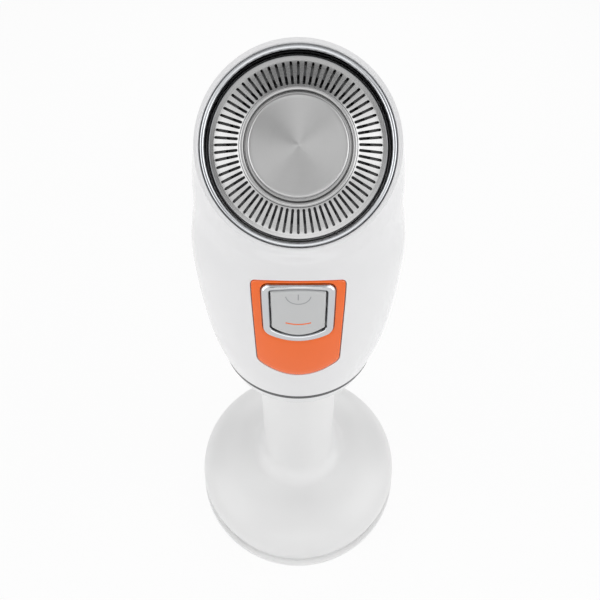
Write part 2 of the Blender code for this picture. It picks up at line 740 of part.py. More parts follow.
def neck_outside():
    """The collar's edge under its band, its sloping underside and its fillet into the stem."""
    slope = math.radians(NECK_SLOPE)
    band_low = NECK_TOP - NECK_BAND
    edge = arc((NECK_RADIUS - NECK_TAPER - NECK_EDGE, band_low + NECK_EDGE), (NECK_EDGE, NECK_EDGE),
               0, NECK_SLOPE - 90, 3)
    meet = STEM_TOP_RADIUS + NECK_ROOT * (1 - math.sin(slope))
    drop = (edge[-1][0] - meet) * math.tan(slope)
    root = (STEM_TOP_RADIUS + NECK_ROOT, edge[-1][1] - drop - NECK_ROOT * math.cos(slope))
    return edge + arc(root, (NECK_ROOT, NECK_ROOT), 90 + NECK_SLOPE, 180, 3)


def trim_ring():
    inner = NECK_SPIGOT + GAP
    edge = 0.4 * mm
    profile = [
        (inner, TRIM_TOP),
        (TRIM_RADIUS - edge, TRIM_TOP),
        (TRIM_RADIUS, TRIM_TOP - edge),
        (TRIM_RADIUS, TRIM_BOTTOM + edge),
        (TRIM_RADIUS - edge, TRIM_BOTTOM),
        (inner, TRIM_BOTTOM),
    ]
    return smooth(turned("trim_ring", profile, TRIM_GREY))


def tie_nut_heights():
    lower = WEB_HEIGHT - GAP - NUT_HEIGHT
    upper = NECK_TOP + GAP
    return lower, upper


def tie_tube():
    lower, upper = tie_nut_heights()
    low = lower - TIE_STAND
    high = upper + NUT_HEIGHT + TIE_STAND
    edge = 0.5 * mm
    profile = [
        (TIE_BORE, high),
        (TIE_RADIUS - edge, high),
        (TIE_RADIUS, high - edge),
        (TIE_RADIUS, low + edge),
        (TIE_RADIUS - edge, low),
        (TIE_BORE, low),
    ]
    return smooth(turned("tie_tube", profile, STEEL, steps=24))


def nut(name, radius, height, low, bore, frame=None):
    made = rod(name, radius, low, low + height, STEEL, frame, sides=6)
    return smooth(cut(made, rod(name + "_bore", bore, low - mm, low + height + mm, frame=frame, sides=24)))


# ---------------------------------------------------------------- housing
def head_rod(name, radius, low, high):
    return rod(name, radius, low, high, frame=HEAD, sides=72)


def behind_parting(name, edge):
    """All that lies behind the parting line and behind the head's full ring, moved by an edge gap."""
    far = 0.2
    region = block(name, (-far, PARTING_BACK + edge, 0), (far, far, 2 * far))
    ahead = block(name + "_front", (-far, -far, -COLLAR_DEPTH - edge), (far, far, far), frame=HEAD)
    return cut(region, ahead)


def fascia_outline(grow):
    top = FASCIA_TOP_WIDTH / 2 + grow
    bottom = FASCIA_BOTTOM_WIDTH / 2 + grow
    return arched(top, bottom, FASCIA_TOP + grow, FASCIA_BOTTOM - grow, FASCIA_TOP_RISE,
                  FASCIA_BOTTOM_DIP, FASCIA_CORNER + grow)


def frame_outline(grow):
    half = FRAME_WIDTH / 2 + grow
    return arched(half, half, FRAME_TOP + grow, FRAME_BOTTOM - grow, FRAME_TOP_RISE,
                  FRAME_BOTTOM_DIP, max(FRAME_CORNER + grow, 0.6 * mm))


def arched(top, bottom, high, low, rise, dip, corner):
    """A four-cornered outline whose top edge arches up and whose bottom edge dips."""
    steps = 6
    corners = rounded([(-bottom, low), (bottom, low), (top, high), (-top, high)], corner)
    each = len(corners) // 4
    points = []
    for i in range(4):
        points += corners[i * each:(i + 1) * each]
        if i in (0, 2):  # the bottom edge follows the first corner, and the top edge the third
            (x0, z), (x1, _) = points[-1], corners[(i + 1) * each]
            points += [(x0 + (x1 - x0) * k / steps, z) for k in range(1, steps)]
    middle = (high + low) / 2
    over = [(x, z + rise * (1 - (x / top) ** 2)) for x, z in points]
    under = [(x, z - dip * (1 - (x / bottom) ** 2)) for x, z in points]
    return [up if z > middle else down for (_, z), up, down in zip(points, over, under)]


def facing(name, outline, near=0.0, far=0.08):
    """A prism that looks forwards, with an outline of (x, z) points."""
    return prism(name, outline, near, far, frame=FACE)


FACE = frame_at("face", (0, 0, 0), FACE_ON)


def front_housing():
    """The front half, with the head's full ring and the ledge that carries the bezel."""
    made = bent_shell("front_housing", 0, -HOUSING_WALL, GLOSSY_WHITE)
    join(made, turned("head_collar", [
        (LEDGE_RADIUS, -mm),
        (RIM_BORE + 0.7 * mm, -mm),
        (RIM_BORE + 0.7 * mm, LEDGE_UNDER),
        (LEDGE_RADIUS, LEDGE_UNDER),
    ], frame=HEAD, steps=HEAD_SIDES))
    cut(made, disc("rim_bore", [
        (0, 10 * mm),
        (RIM_BORE + RIM_ROUND, 10 * mm),
        (RIM_BORE + RIM_ROUND, 0.2 * mm),
        (RIM_BORE, -RIM_ROUND),
        (RIM_BORE, LEDGE_LEVEL),
        (0, LEDGE_LEVEL),
    ], frame=HEAD, steps=HEAD_SIDES))
    cut(made, behind_parting("rear_half", 0))
    for i, height in enumerate(BOSS_HEIGHTS):
        for side in (-1, 1):
            boss = rod(f"front_boss_{i}_{side}", BOSS_RADIUS, -0.06, PARTING_BACK,
                       at=(side * BOSS_OUT, height), along="Y", sides=14)
            join(made, keep_within(boss, bent_solid(f"front_boss_{i}_{side}_limit", -HOUSING_WALL / 2)))
            cut(made, rod(f"front_pilot_{i}_{side}", SCREW_RADIUS + GAP, screw_tip() - mm, 0.02,
                          at=(side * BOSS_OUT, height), along="Y", sides=12))
    cut(made, fascia_pocket())
    cut(made, facing("switch_hole", rocker_outline(SWITCH_WALL + 2 * GAP)))
    return smooth(made)


def fascia_pocket():
    pocket = bent_shell("fascia_pocket", 5 * mm, -FASCIA_THICKNESS - GAP)
    return keep_within(pocket, facing("fascia_pocket_edge", fascia_outline(GAP)))


def screw_tip():
    return PARTING_BACK + SCREW_SEAT - GAP - SCREW_LENGTH


def rear_housing():
    made = bent_shell("rear_housing", 0, -HOUSING_WALL, GLOSSY_WHITE)
    keep_within(made, behind_parting("front_half", GAP))
    filler = rod("filler_boss", FILLER_BOSS, FILLER_FLOOR - FILLER_BOSS_DEPTH, 0.08,
                 at=(0, FILLER_HEIGHT), along="Y", sides=32)
    join(made, keep_within(filler, bent_solid("filler_boss_limit", -0.2 * mm)))
    cut(made, rod("cap_recess", FILLER_RECESS, FILLER_FLOOR, 0.09, at=(0, FILLER_HEIGHT), along="Y", sides=32))
    cut(made, rod("filler_hole", FILLER_RADIUS + GAP, 0.02, 0.09, at=(0, FILLER_HEIGHT), along="Y", sides=32))
    seat = PARTING_BACK + SCREW_SEAT
    for i, height in enumerate(BOSS_HEIGHTS):
        for side in (-1, 1):
            at = (side * BOSS_OUT, height)
            boss = rod(f"rear_boss_{i}_{side}", BOSS_RADIUS, PARTING_BACK + GAP, 0.06, at=at, along="Y", sides=14)
            join(made, keep_within(boss, bent_solid(f"rear_boss_{i}_{side}_limit", -HOUSING_WALL / 2)))
            cut(made, rod(f"screw_well_{i}_{side}", SCREW_HEAD + GAP, seat, 0.07, at=at, along="Y", sides=14))
            cut(made, rod(f"screw_hole_{i}_{side}", SCREW_RADIUS + GAP, 0, 0.07, at=at, along="Y", sides=12))
    return smooth(made)


def housing_screw(number, side, height):
    seat = PARTING_BACK + SCREW_SEAT + GAP
    profile = [
        (0, seat + SCREW_HEAD_HEIGHT - 0.9 * mm),
        (1.1 * mm, seat + SCREW_HEAD_HEIGHT),
        (SCREW_HEAD - 0.4 * mm, seat + SCREW_HEAD_HEIGHT),
        (SCREW_HEAD, seat + SCREW_HEAD_HEIGHT - 0.4 * mm),
        (SCREW_HEAD, seat),
        (SCREW_RADIUS, seat),
        (SCREW_RADIUS, screw_tip() + mm),
        (0, screw_tip()),
    ]
    made = disc(f"housing_screw_{number}", profile, STEEL, steps=10)
    made.location = (side * BOSS_OUT, 0, height)
    made.rotation_euler = (-math.pi / 2, 0, 0)
    return smooth(made)


# ---------------------------------------------------------------- steam head
def bezel_ring():
    top = -BEZEL_SINK
    bottom = LEDGE_LEVEL + GAP
    half = BEZEL_WIDTH / 2
    profile = arc((BEZEL_INNER + half, top - half), (half, half), 180, 0, 4)
    profile += [(BEZEL_OUTER, bottom), (BEZEL_INNER, bottom)]
    return smooth(turned("bezel_ring", profile, CHROME, HEAD, steps=HEAD_SIDES))


def plate_gasket():
    inner = PLATE_RADIUS + GAP
    outer = min(inner + GASKET_WIDTH, BEZEL_INNER - GAP)
    bottom = LEDGE_LEVEL + GAP
    top = bottom + GASKET_STAND
    profile = [(inner, top - 0.3 * mm), (inner + 0.3 * mm, top), (outer - 0.3 * mm, top),
               (outer, top - 0.3 * mm), (outer, bottom), (inner, bottom)]
    return smooth(turned("plate_gasket", profile, RUBBER, HEAD, steps=36))


def plate_top():
    """The plate's upper face, from its centre hole out to the edge of its skirt."""
    bead_side = BEAD_WIDTH / 2
    points = [(STUD_RADIUS + GAP, DISC_FLOOR_LEVEL), (BEAD_RADIUS - bead_side - 0.2 * mm, DISC_FLOOR_LEVEL)]
    points += arc((BEAD_RADIUS, SLOT_BAND_INNER_LEVEL), (bead_side, BEAD_HEIGHT), 160, 20, 3)
    points += [(SLOT_INNER - 0.1 * mm, SLOT_BAND_INNER_LEVEL), (SLOT_OUTER + 0.3 * mm, SLOT_BAND_OUTER_LEVEL)]
    points += arc((PLATE_RADIUS - 1.1 * mm, PLATE_EDGE_LEVEL), (1.1 * mm, 1.3 * mm), 60, 0, 2)
    return points


def plate_under():
    """The plate's lower face, from inside its skirt back to the centre hole."""
    inside = PLATE_RADIUS - PLATE_WALL
    return [
        (inside, SKIRT_LEVEL),
        (inside, PLATE_EDGE_LEVEL - 0.3 * mm),
        (SLOT_OUTER + 0.1 * mm, SLOT_BAND_OUTER_LEVEL - PLATE_WALL - 0.1 * mm),
        (SLOT_INNER - 0.3 * mm, SLOT_BAND_INNER_LEVEL - PLATE_WALL),
        (BEAD_RADIUS - BEAD_WIDTH / 2, DISC_FLOOR_LEVEL - PLATE_WALL),
        (STUD_RADIUS + GAP, DISC_FLOOR_LEVEL - PLATE_WALL),
    ]


def steam_plate():
    profile = plate_top() + [(PLATE_RADIUS, SKIRT_LEVEL)] + plate_under()
    return smooth(cut(turned("steam_plate", profile, STAINLESS, HEAD, steps=48), steam_slots()), 25)


def steam_slots():
    """The ring of round-ended steam slots, as one cutter."""
    half = SLOT_WIDTH / 2
    ends = 3
    outline = arc((SLOT_OUTER - half, 0), (half, half), -90, 90, ends)
    outline += arc((SLOT_INNER + half, 0), (half, half), 90, 270, ends)
    work = bmesh.new()
    for i in range(SLOTS):
        turn = Matrix.Rotation(math.tau * (i + 0.5) / SLOTS, 3, "Z")
        face = work.faces.new([work.verts.new(turn @ Vector((x, y, 3 * mm))) for x, y in outline])
        grown = bmesh.ops.extrude_face_region(work, geom=[face])
        moved = [item for item in grown["geom"] if isinstance(item, bmesh.types.BMVert)]
        bmesh.ops.translate(work, verts=moved, vec=(0, 0, -10 * mm))
    return add("steam_slots", mesh_from(work, "steam_slots"), frame=HEAD)


def centre_disc():
    bottom = DISC_FLOOR_LEVEL + GAP
    shoulder = (DISC_RADIUS - DISC_ROUND, DISC_LEVEL - DISC_ROUND)
    profile = [(0, DISC_LEVEL + DISC_CROWN), (DISC_RADIUS * 0.55, DISC_LEVEL + DISC_CROWN * 0.7)]
    profile += arc(shoulder, (DISC_ROUND, DISC_ROUND), 90, 0, 3)
    profile += [(DISC_RADIUS, bottom), (STUD_RADIUS, bottom), (STUD_RADIUS, bottom - STUD_DEPTH),
                (0, bottom - STUD_DEPTH)]
    return smooth(disc("centre_disc", profile, STAINLESS, HEAD, steps=40), 25)


def disc_nut():
    top = DISC_FLOOR_LEVEL - PLATE_WALL - GAP
    return nut("disc_nut", DISC_NUT_RADIUS, DISC_NUT_HEIGHT, top - DISC_NUT_HEIGHT, STUD_RADIUS + GAP, HEAD)


def steam_chamber():
    """A die-cast cup inside the plate's skirt, with the inlet nozzle at its back."""
    spigot = PLATE_RADIUS - PLATE_WALL - GAP
    bore = CHAMBER_RADIUS - CHAMBER_WALL
    profile = [
        (bore, CHAMBER_FRONT_LEVEL),
        (spigot, CHAMBER_FRONT_LEVEL),
        (spigot, SKIRT_LEVEL),
        (CHAMBER_RADIUS, SKIRT_LEVEL),
        (CHAMBER_RADIUS, CHAMBER_BACK_LEVEL),
        (0, CHAMBER_BACK_LEVEL),
    ]
    made = disc("steam_chamber", [(0, CHAMBER_FLOOR_LEVEL), (bore, CHAMBER_FLOOR_LEVEL)] + profile,
                CAST_ALUMINIUM, HEAD, steps=24)
    join(made, rod("nozzle", NOZZLE_RADIUS, nozzle_level(), CHAMBER_BACK_LEVEL + 2 * mm, frame=HEAD,
                   at=(0, -NOZZLE_DROP), sides=16))
    return smooth(cut(made, rod("nozzle_bore", NOZZLE_RADIUS / 2, nozzle_level() - mm, CHAMBER_FRONT_LEVEL,
                                frame=HEAD, at=(0, -NOZZLE_DROP), sides=12)))


def nozzle_level():
    return CHAMBER_BACK_LEVEL - NOZZLE_LENGTH


def heating_element():
    """A sheathed rod bent round the chamber's back, with two cold ends."""
    opening = 24
    points = []
    count = 20
    for i in range(count + 1):
        angle = math.radians(90 + opening + (360 - 2 * opening) * i / count)
        points.append((HEATER_RING * math.cos(angle), HEATER_RING * math.sin(angle)))
    curve = bpy.data.curves.new("heating_element", "CURVE")
    curve.dimensions = "3D"
    curve.bevel_depth = HEATER_ROD
    curve.bevel_resolution = 1
    curve.use_fill_caps = True
    spline = curve.splines.new("POLY")
    spline.points.add(len(points) - 1)
    for knot, (x, y) in zip(spline.points, points):
        knot.co = (x, y, HEATER_LEVEL, 1)
    return add("heating_element", curve, STEEL, HEAD)


def heat_shield():
    inner = CHAMBER_RADIUS + GAP
    outer = inner + SHIELD_WALL
    step = SKIRT_LEVEL - GAP
    mouth = PLATE_RADIUS + GAP
    web_back = SHIELD_WEB_LEVEL - SHIELD_WALL
    profile = [
        (mouth, SHIELD_FLANGE_LEVEL),
        (SHIELD_FLANGE, SHIELD_FLANGE_LEVEL),
        (SHIELD_FLANGE, step - SHIELD_WALL),
        (outer, step - SHIELD_WALL),
        (outer, web_back),
        (SHIELD_OPENING, web_back),
        (SHIELD_OPENING, SHIELD_WEB_LEVEL),
        (inner, SHIELD_WEB_LEVEL),
        (inner, step),
        (mouth, step),
    ]
    return smooth(turned("heat_shield", profile, STEEL, HEAD, steps=24))


def thermostat():
    top = CHAMBER_BACK_LEVEL - GAP
    low = top - THERMOSTAT_HEIGHT
    body = rod("thermostat", THERMOSTAT_RADIUS, low, top, PHENOLIC, HEAD, sides=28)
    for side in (-1, 1):
        x = side * THERMOSTAT_RADIUS * 0.6
        join(body, block(f"thermostat_tab_{side}", (x - 0.4 * mm, -1.6 * mm, low - 4 * mm),
                         (x + 0.4 * mm, 1.6 * mm, low + mm), frame=HEAD))
    return smooth(body)


def thermal_fuse():
    level = CHAMBER_BACK_LEVEL - GAP - FUSE_RADIUS
    half = FUSE_LENGTH / 2
    return smooth(rod("thermal_fuse", FUSE_RADIUS, -half, half, STEEL, HEAD, at=(FUSE_RISE, level),
                      along="X", sides=16))


# ---------------------------------------------------------------- fascia and switch
def fascia():
    made = bent_shell("fascia", 0, -FASCIA_THICKNESS, ORANGE)
    keep_within(made, facing("fascia_edge", fascia_outline(0)))
    return smooth(cut(made, facing("fascia_window", frame_outline(GAP))))


def switch_frame():
    made = bent_shell("switch_frame", FRAME_STAND, -FASCIA_THICKNESS, CHROME)
    keep_within(made, facing("switch_frame_edge", frame_outline(0)))
    return smooth(cut(made, facing("switch_frame_window", frame_outline(-FRAME_BAR))))


def rocker_outline(grow):
    return frame_outline(grow - FRAME_BAR - ROCKER_CLEARANCE)


def switch_middle():
    """The rocker's middle height and the housing's front there."""
    high = FRAME_TOP + FRAME_TOP_RISE - FRAME_BAR
    low = FRAME_BOTTOM - FRAME_BOTTOM_DIP + FRAME_BAR
    height = (high + low) / 2
    return height, line_at(height, -1)[0]


def pivot_place():
    height, front = switch_middle()
    return Vector((0, front + PIVOT_DEPTH, height))


def rocker_button():
    """The rocker's origin is on its pivot."""
    pivot = pivot_place()
    made = prism("rocker_button", rocker_outline(0), -pivot.y - 3 * mm, 0.05, LIGHT_GREY, FACE)
    keep_within(made, bent_solid("rocker_face", ROCKER_STAND))
    half = FRAME_WIDTH / 2 - FRAME_BAR - ROCKER_CLEARANCE + SWITCH_WALL - GAP
    pin = rod("rocker_pin", PIVOT_RADIUS, -half, half, at=(pivot.y, pivot.z), along="X", sides=16)
    join(made, pin)
    graph = bpy.context.evaluated_depsgraph_get()
    shape = bpy.data.meshes.new_from_object(made.evaluated_get(graph))
    shape.transform(Matrix.Translation(-pivot) @ Matrix.Rotation(FACE_ON, 4, "X"))
    bpy.data.objects.remove(made)
    whole = add("rocker_button", shape)
    whole.location = pivot
    return smooth(whole)


def switch_body():
    """An open box behind the fascia, with the rocker's pivots in its side walls."""
    pivot = pivot_place()
    wall_back = -pivot.y + PIVOT_DEPTH - HOUSING_WALL - GAP
    back = wall_back + HOUSING_WALL - SWITCH_DEPTH
    made = prism("switch_body", rocker_outline(SWITCH_WALL + GAP), back, 0.05, LIGHT_GREY, FACE)
    keep_within(made, bent_solid("switch_body_face", -FASCIA_THICKNESS - GAP))
    room = -pivot.y - 3 * mm - 2.2 * mm
    cut(made, facing("switch_room", rocker_outline(ROCKER_ROOM), near=room))
    half = FRAME_WIDTH / 2
    cut(made, rod("pivot_hole", PIVOT_RADIUS + GAP, -half, half, at=(pivot.y, pivot.z), along="X", sides=16))
    for i, side in enumerate((-1, 0, 1)):
        z = pivot.z + side * 6 * mm
        join(made, block(f"terminal_{i}", (-3 * mm, -back - mm, z - 0.4 * mm),
                         (3 * mm, -back + TERMINAL_LENGTH, z + 0.4 * mm)))
    return smooth(made)


# ---------------------------------------------------------------- water side
def tank_form(name, shrink, finish=None):
    low = (-TANK_WIDTH / 2 + shrink, TANK_FRONT + shrink, TANK_BOTTOM + shrink)
    high = (TANK_WIDTH / 2 - shrink, 0.06, TANK_TOP - shrink)
    form = round_edges(block(name, low, high, finish), 3 * mm - shrink / 2)
    return keep_within(form, bent_solid(name + "_limit", -HOUSING_WALL - TANK_CLEARANCE - shrink))


def water_tank():
    made = tank_form("water_tank", 0, MILKY)
    back = FILLER_FLOOR - FILLER_BOSS_DEPTH - GAP
    cut(made, rod("boss_room", FILLER_BOSS + 1 * mm, back, 0.09, at=(0, FILLER_HEIGHT), along="Y", sides=32))
    room = tank_form("tank_room", TANK_WALL)
    cut(room, rod("room_limit", FILLER_BOSS + 1 * mm + TANK_WALL, back - TANK_WALL, 0.09,
                  at=(0, FILLER_HEIGHT), along="Y", sides=32))
    join(made, rod("filler_neck", FILLER_RADIUS, back - 1 * mm, FILLER_FLOOR + NECK_STAND,
                   at=(0, FILLER_HEIGHT), along="Y", sides=32))
    join(made, rod("tank_nipple", NIPPLE_RADIUS, TANK_FRONT - NIPPLE_LENGTH, TANK_FRONT + 1 * mm,
                   at=(SUCTION_ASIDE, SUCTION_HEIGHT), along="Y", sides=12))
    cut(made, room)
    cut(made, rod("filler_bore", FILLER_BORE, back - 4 * mm, 0.09, at=(0, FILLER_HEIGHT), along="Y", sides=32))
    cut(made, rod("nipple_bore", NIPPLE_RADIUS / 2, 0, TANK_FRONT + 5 * mm,
                  at=(SUCTION_ASIDE, SUCTION_HEIGHT), along="Y", sides=12))
    return smooth(made)


def cap_seal():
    """A ring between the filler's mouth and the cap."""
    place = FILLER_FLOOR + NECK_STAND + 0.1 * mm + SEAL_RADIUS
    ring = (FILLER_RADIUS + FILLER_BORE) / 2
    made = turned("cap_seal", arc((ring, 0), (SEAL_RADIUS, SEAL_RADIUS), 180, -135, 7), RUBBER, steps=24)
    made.location = (0, place, FILLER_HEIGHT)
    made.rotation_euler = (-math.pi / 2, 0, 0)
    return smooth(made, 60)


def filler_cap():
    """Built along Z with its seat at 0, and laid along Y. Its origin is on its turning axis."""
    seat = FILLER_FLOOR + NECK_STAND + 0.2 * mm + 2 * SEAL_RADIUS
    plug = FILLER_BORE - GAP
    edge = 0.6 * mm
    profile = [
        (0, CAP_THICKNESS),
        (CAP_RADIUS - edge, CAP_THICKNESS),
        (CAP_RADIUS, CAP_THICKNESS - edge),
        (CAP_RADIUS, 0),
        (plug, 0),
        (plug, edge - CAP_PLUG),
        (plug - edge, -CAP_PLUG),
        (0, -CAP_PLUG),
    ]
    made = disc("filler_cap", profile, GLOSSY_WHITE, steps=28)
    grip = block("cap_grip", (-CAP_GRIP_LENGTH / 2, -CAP_GRIP_WIDTH / 2, CAP_THICKNESS - mm),
                 (CAP_GRIP_LENGTH / 2, CAP_GRIP_WIDTH / 2, CAP_THICKNESS + CAP_GRIP_HEIGHT))
    for thing in (made, grip):
        thing.location = (0, seat, FILLER_HEIGHT)
        thing.rotation_euler = (-math.pi / 2, 0, 0)
    return smooth(join(made, round_edges(grip, 1.2 * mm)))


def water_pump():
    top = PUMP_SEAT + PUMP_HEIGHT
    edge = 1.5 * mm
    profile = [
        (0, top),
        (PUMP_RADIUS - edge, top),
        (PUMP_RADIUS, top - edge),
        (PUMP_RADIUS, PUMP_SEAT),
        (0, PUMP_SEAT),
    ]
    made = disc("water_pump", profile, TRIM_GREY, steps=32)
    made.location = (0, -PUMP_FORWARD, 0)
    back = -PUMP_FORWARD + PUMP_RADIUS
    for name, x, z in (("inlet", SUCTION_ASIDE, SUCTION_HEIGHT), ("outlet", 0, top - 5 * mm)):
        join(made, rod(f"pump_{name}", NIPPLE_RADIUS, -PUMP_FORWARD, back + NIPPLE_LENGTH,
                       at=(x, z), along="Y", sides=12))
    return smooth(made)


def suction_hose():
    start = -PUMP_FORWARD + PUMP_RADIUS + NIPPLE_LENGTH + GAP
    end = TANK_FRONT - NIPPLE_LENGTH - GAP
    return smooth(rod("suction_hose", NIPPLE_RADIUS, start, end, SILICONE,
                      at=(SUCTION_ASIDE, SUCTION_HEIGHT), along="Y", sides=12))


def feed_hose():
    """From the pump up behind the switch to the chamber's nozzle."""
    start = Vector((0, -PUMP_FORWARD + PUMP_RADIUS + NIPPLE_LENGTH + GAP, PUMP_SEAT + PUMP_HEIGHT - 5 * mm))
    down = Vector((0, math.cos(HEAD_TILT), math.sin(HEAD_TILT))) * -NOZZLE_DROP
    end = HEAD_CENTRE + down + HEAD_AXIS * (nozzle_level() - GAP)
    before = end - HEAD_AXIS * 3 * mm
    points = [start, start + Vector((0, 2 * mm, 0)), start + Vector((0, 6 * mm, 8 * mm)),
              start.lerp(before, 0.62) + Vector((0, -0.5 * mm, 0)), before, end]
    return tube("feed_hose", points, NIPPLE_RADIUS, SILICONE)


def terminal_block():
    low = NECK_TOP + GAP
    half = BLOCK_LENGTH / 2
    made = block("terminal_block", (-BLOCK_ASIDE - half, -BLOCK_WIDTH / 2, low),
                 (-BLOCK_ASIDE + half, BLOCK_WIDTH / 2, low + BLOCK_HEIGHT), LIGHT_GREY)
    round_edges(made, 0.6 * mm)
    for i in (-1, 1):
        cut(made, rod(f"block_screw_{i}", 1.6 * mm, low + BLOCK_HEIGHT - 2.5 * mm, low + BLOCK_HEIGHT + mm,
                      at=(-BLOCK_ASIDE + 2 * mm, i * 3 * mm), sides=12))
    return made


def inner_lead():
    """The lead inside: from the gland over the counterweight, up the tie tube and to the terminals."""
    lower, upper = tie_nut_heights()
    tube_low = lower - TIE_STAND
    tube_high = upper + NUT_HEIGHT + TIE_STAND
    start = gland_end() - GAP
    end_x = -BLOCK_ASIDE - 2 * mm
    end_z = NECK_TOP + GAP + BLOCK_HEIGHT + GAP
    points = [
        (0, start, GLAND_HEIGHT),
        (0, start - 2 * mm, GLAND_HEIGHT),
        (0, WEIGHT_OUTER + 3 * mm, GLAND_HEIGHT + 2.2 * mm),
        (0, WEIGHT_OUTER - 12 * mm, WEIGHT_TOP + LEAD_RADIUS + 2 * mm),
        (0, 12 * mm, WEIGHT_TOP + LEAD_RADIUS + 3 * mm),
        (0, 3 * mm, tube_low - 7 * mm),
        (0, 0, tube_low - 1 * mm),
        (0, 0, tube_low + 4 * mm),
        (0, 0, tube_high - 4 * mm),
        (0, 0, tube_high + 1 * mm),
        (-4 * mm, 0, tube_high + 6 * mm),
        (-12 * mm, 0, tube_high + 9 * mm),
        (end_x, 0, end_z + 5 * mm),
        (end_x, 0, end_z),
    ]
    return tube("inner_lead", points, LEAD_RADIUS, RUBBER)


# ---------------------------------------------------------------- the whole object
def build():
    foot_pad()
    foot_base()
    for i in range(BASE_SCREWS):
        base_screw(i)
    counterweight()
    pedestal()
    cord_gland()
    lower, upper = tie_nut_heights()
    tie_tube()
    nut("tie_nut_lower", NUT_RADIUS, NUT_HEIGHT, lower, TIE_RADIUS + GAP)
    nut("tie_nut_upper", NUT_RADIUS, NUT_HEIGHT, upper, TIE_RADIUS + GAP)
    neck_collar()
    trim_ring()
    front_housing()
    rear_housing()
    places = [(side, height) for height in BOSS_HEIGHTS for side in (-1, 1)]
    for number, (side, height) in enumerate(places, 1):
        housing_screw(number, side, height)
    bezel_ring()
    plate_gasket()
    steam_plate()
    centre_disc()
    disc_nut()
    steam_chamber()
    heating_element()
    heat_shield()
    thermostat()
    thermal_fuse()
    fascia()
    switch_frame()
    rocker_button()
    switch_body()
    water_tank()
    cap_seal()
    filler_cap()
    water_pump()
    suction_hose()
    feed_hose()
    terminal_block()
    inner_lead()


build()
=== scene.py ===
# %% [markdown]
# # A compact hand steamer, standing on its weighted foot
#
# The real object is a garment steamer small enough for one hand. A white, glossy housing bends
# forward like a periscope and ends in a round steam head of spun stainless steel. An orange panel
# with a rocker switch lies on its front. It stands on a slim stem and a bell-shaped foot, which
# are moulded in a satin white.
#
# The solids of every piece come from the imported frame. This lesson dresses them: pieces whose
# curves must look smooth are modelled again, finer, on the same sizes, and everything gets the
# finish of its real material.

# %% Load the frame
import json
import math

import bmesh
import bpy
from mathutils import Matrix, Vector


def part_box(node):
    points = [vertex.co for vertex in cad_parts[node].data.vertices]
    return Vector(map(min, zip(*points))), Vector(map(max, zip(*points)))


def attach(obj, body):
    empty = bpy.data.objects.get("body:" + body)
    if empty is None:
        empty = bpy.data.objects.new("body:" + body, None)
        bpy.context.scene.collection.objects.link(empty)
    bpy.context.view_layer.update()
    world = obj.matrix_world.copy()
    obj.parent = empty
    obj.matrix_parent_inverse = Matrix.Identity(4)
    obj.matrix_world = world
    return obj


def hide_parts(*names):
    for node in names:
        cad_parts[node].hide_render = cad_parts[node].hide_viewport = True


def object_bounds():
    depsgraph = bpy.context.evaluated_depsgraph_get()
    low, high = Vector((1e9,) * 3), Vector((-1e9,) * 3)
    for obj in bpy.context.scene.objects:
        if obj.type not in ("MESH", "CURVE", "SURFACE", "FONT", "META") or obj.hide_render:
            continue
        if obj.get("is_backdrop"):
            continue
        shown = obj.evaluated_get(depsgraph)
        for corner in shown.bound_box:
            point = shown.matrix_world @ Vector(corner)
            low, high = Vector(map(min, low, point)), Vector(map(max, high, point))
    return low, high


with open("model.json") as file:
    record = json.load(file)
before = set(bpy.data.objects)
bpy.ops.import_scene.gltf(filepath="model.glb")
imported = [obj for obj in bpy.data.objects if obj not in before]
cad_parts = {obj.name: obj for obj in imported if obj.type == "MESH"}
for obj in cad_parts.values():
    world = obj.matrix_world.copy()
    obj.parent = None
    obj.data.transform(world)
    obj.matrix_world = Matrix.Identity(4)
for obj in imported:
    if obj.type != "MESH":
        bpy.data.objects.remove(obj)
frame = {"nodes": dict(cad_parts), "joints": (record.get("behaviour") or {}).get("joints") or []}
cad_low, cad_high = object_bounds()
mm = 0.001
GAP = 0.3 * mm  # clearance between neighbouring pieces
print("solids:", len(frame["nodes"]), "height", round((cad_high.z - cad_low.z) / mm, 1), "mm")

# %% [markdown]
# ## Small tools
#
# Three ways of making a mesh are enough here. Most pieces of a steamer are turned: a profile goes
# once round an axis. The housing and the switch are skinned: rings of points are joined like the
# hoops of a barrel. Holes are carved with exact Booleans, because they give a closed mesh even
# where a hole crosses a curved wall.


# %% Objects and meshes
def placed(name, data):
    """A new object in the scene."""
    thing = bpy.data.objects.new(name, data)
    bpy.context.collection.objects.link(thing)
    return thing


def finished(work):
    """The work as a mesh, with its faces turned outwards."""
    bmesh.ops.recalc_face_normals(work, faces=work.faces)
    mesh = bpy.data.meshes.new("shape")
    work.to_mesh(mesh)
    work.free()
    return mesh


# %% Rounded corners
def eased(corners, steps=6, loop=True):
    """A line through corners (x, y, radius) in which each corner becomes an arc of its radius."""
    points = []
    count = len(corners)
    for i, (x, y, radius) in enumerate(corners):
        here = Vector((x, y))
        if radius == 0 or (not loop and i in (0, count - 1)):
            points.append(here)
            continue
        before = (Vector(corners[i - 1][:2]) - here).normalized()
        after = (Vector(corners[(i + 1) % count][:2]) - here).normalized()
        half = before.angle(after) / 2
        centre = here + (before + after).normalized() * radius / math.sin(half)
        start = here + before * radius / math.tan(half) - centre
        end = here + after * radius / math.tan(half) - centre
        points += [centre + radius * start.slerp(end, k / steps) for k in range(steps + 1)]
    return points


def bow(centre, radii, start, end, steps):
    """Points on an ellipse's arc, with its angles in degrees."""
    turn = [math.radians(start + (end - start) * k / steps) for k in range(steps + 1)]
    (x, y), (wide, tall) = centre, radii
    return [Vector((x + wide * math.cos(a), y + tall * math.sin(a))) for a in turn]


# %% Skinned and turned meshes
SAME = 0.0005 * mm  # corners closer than this are one


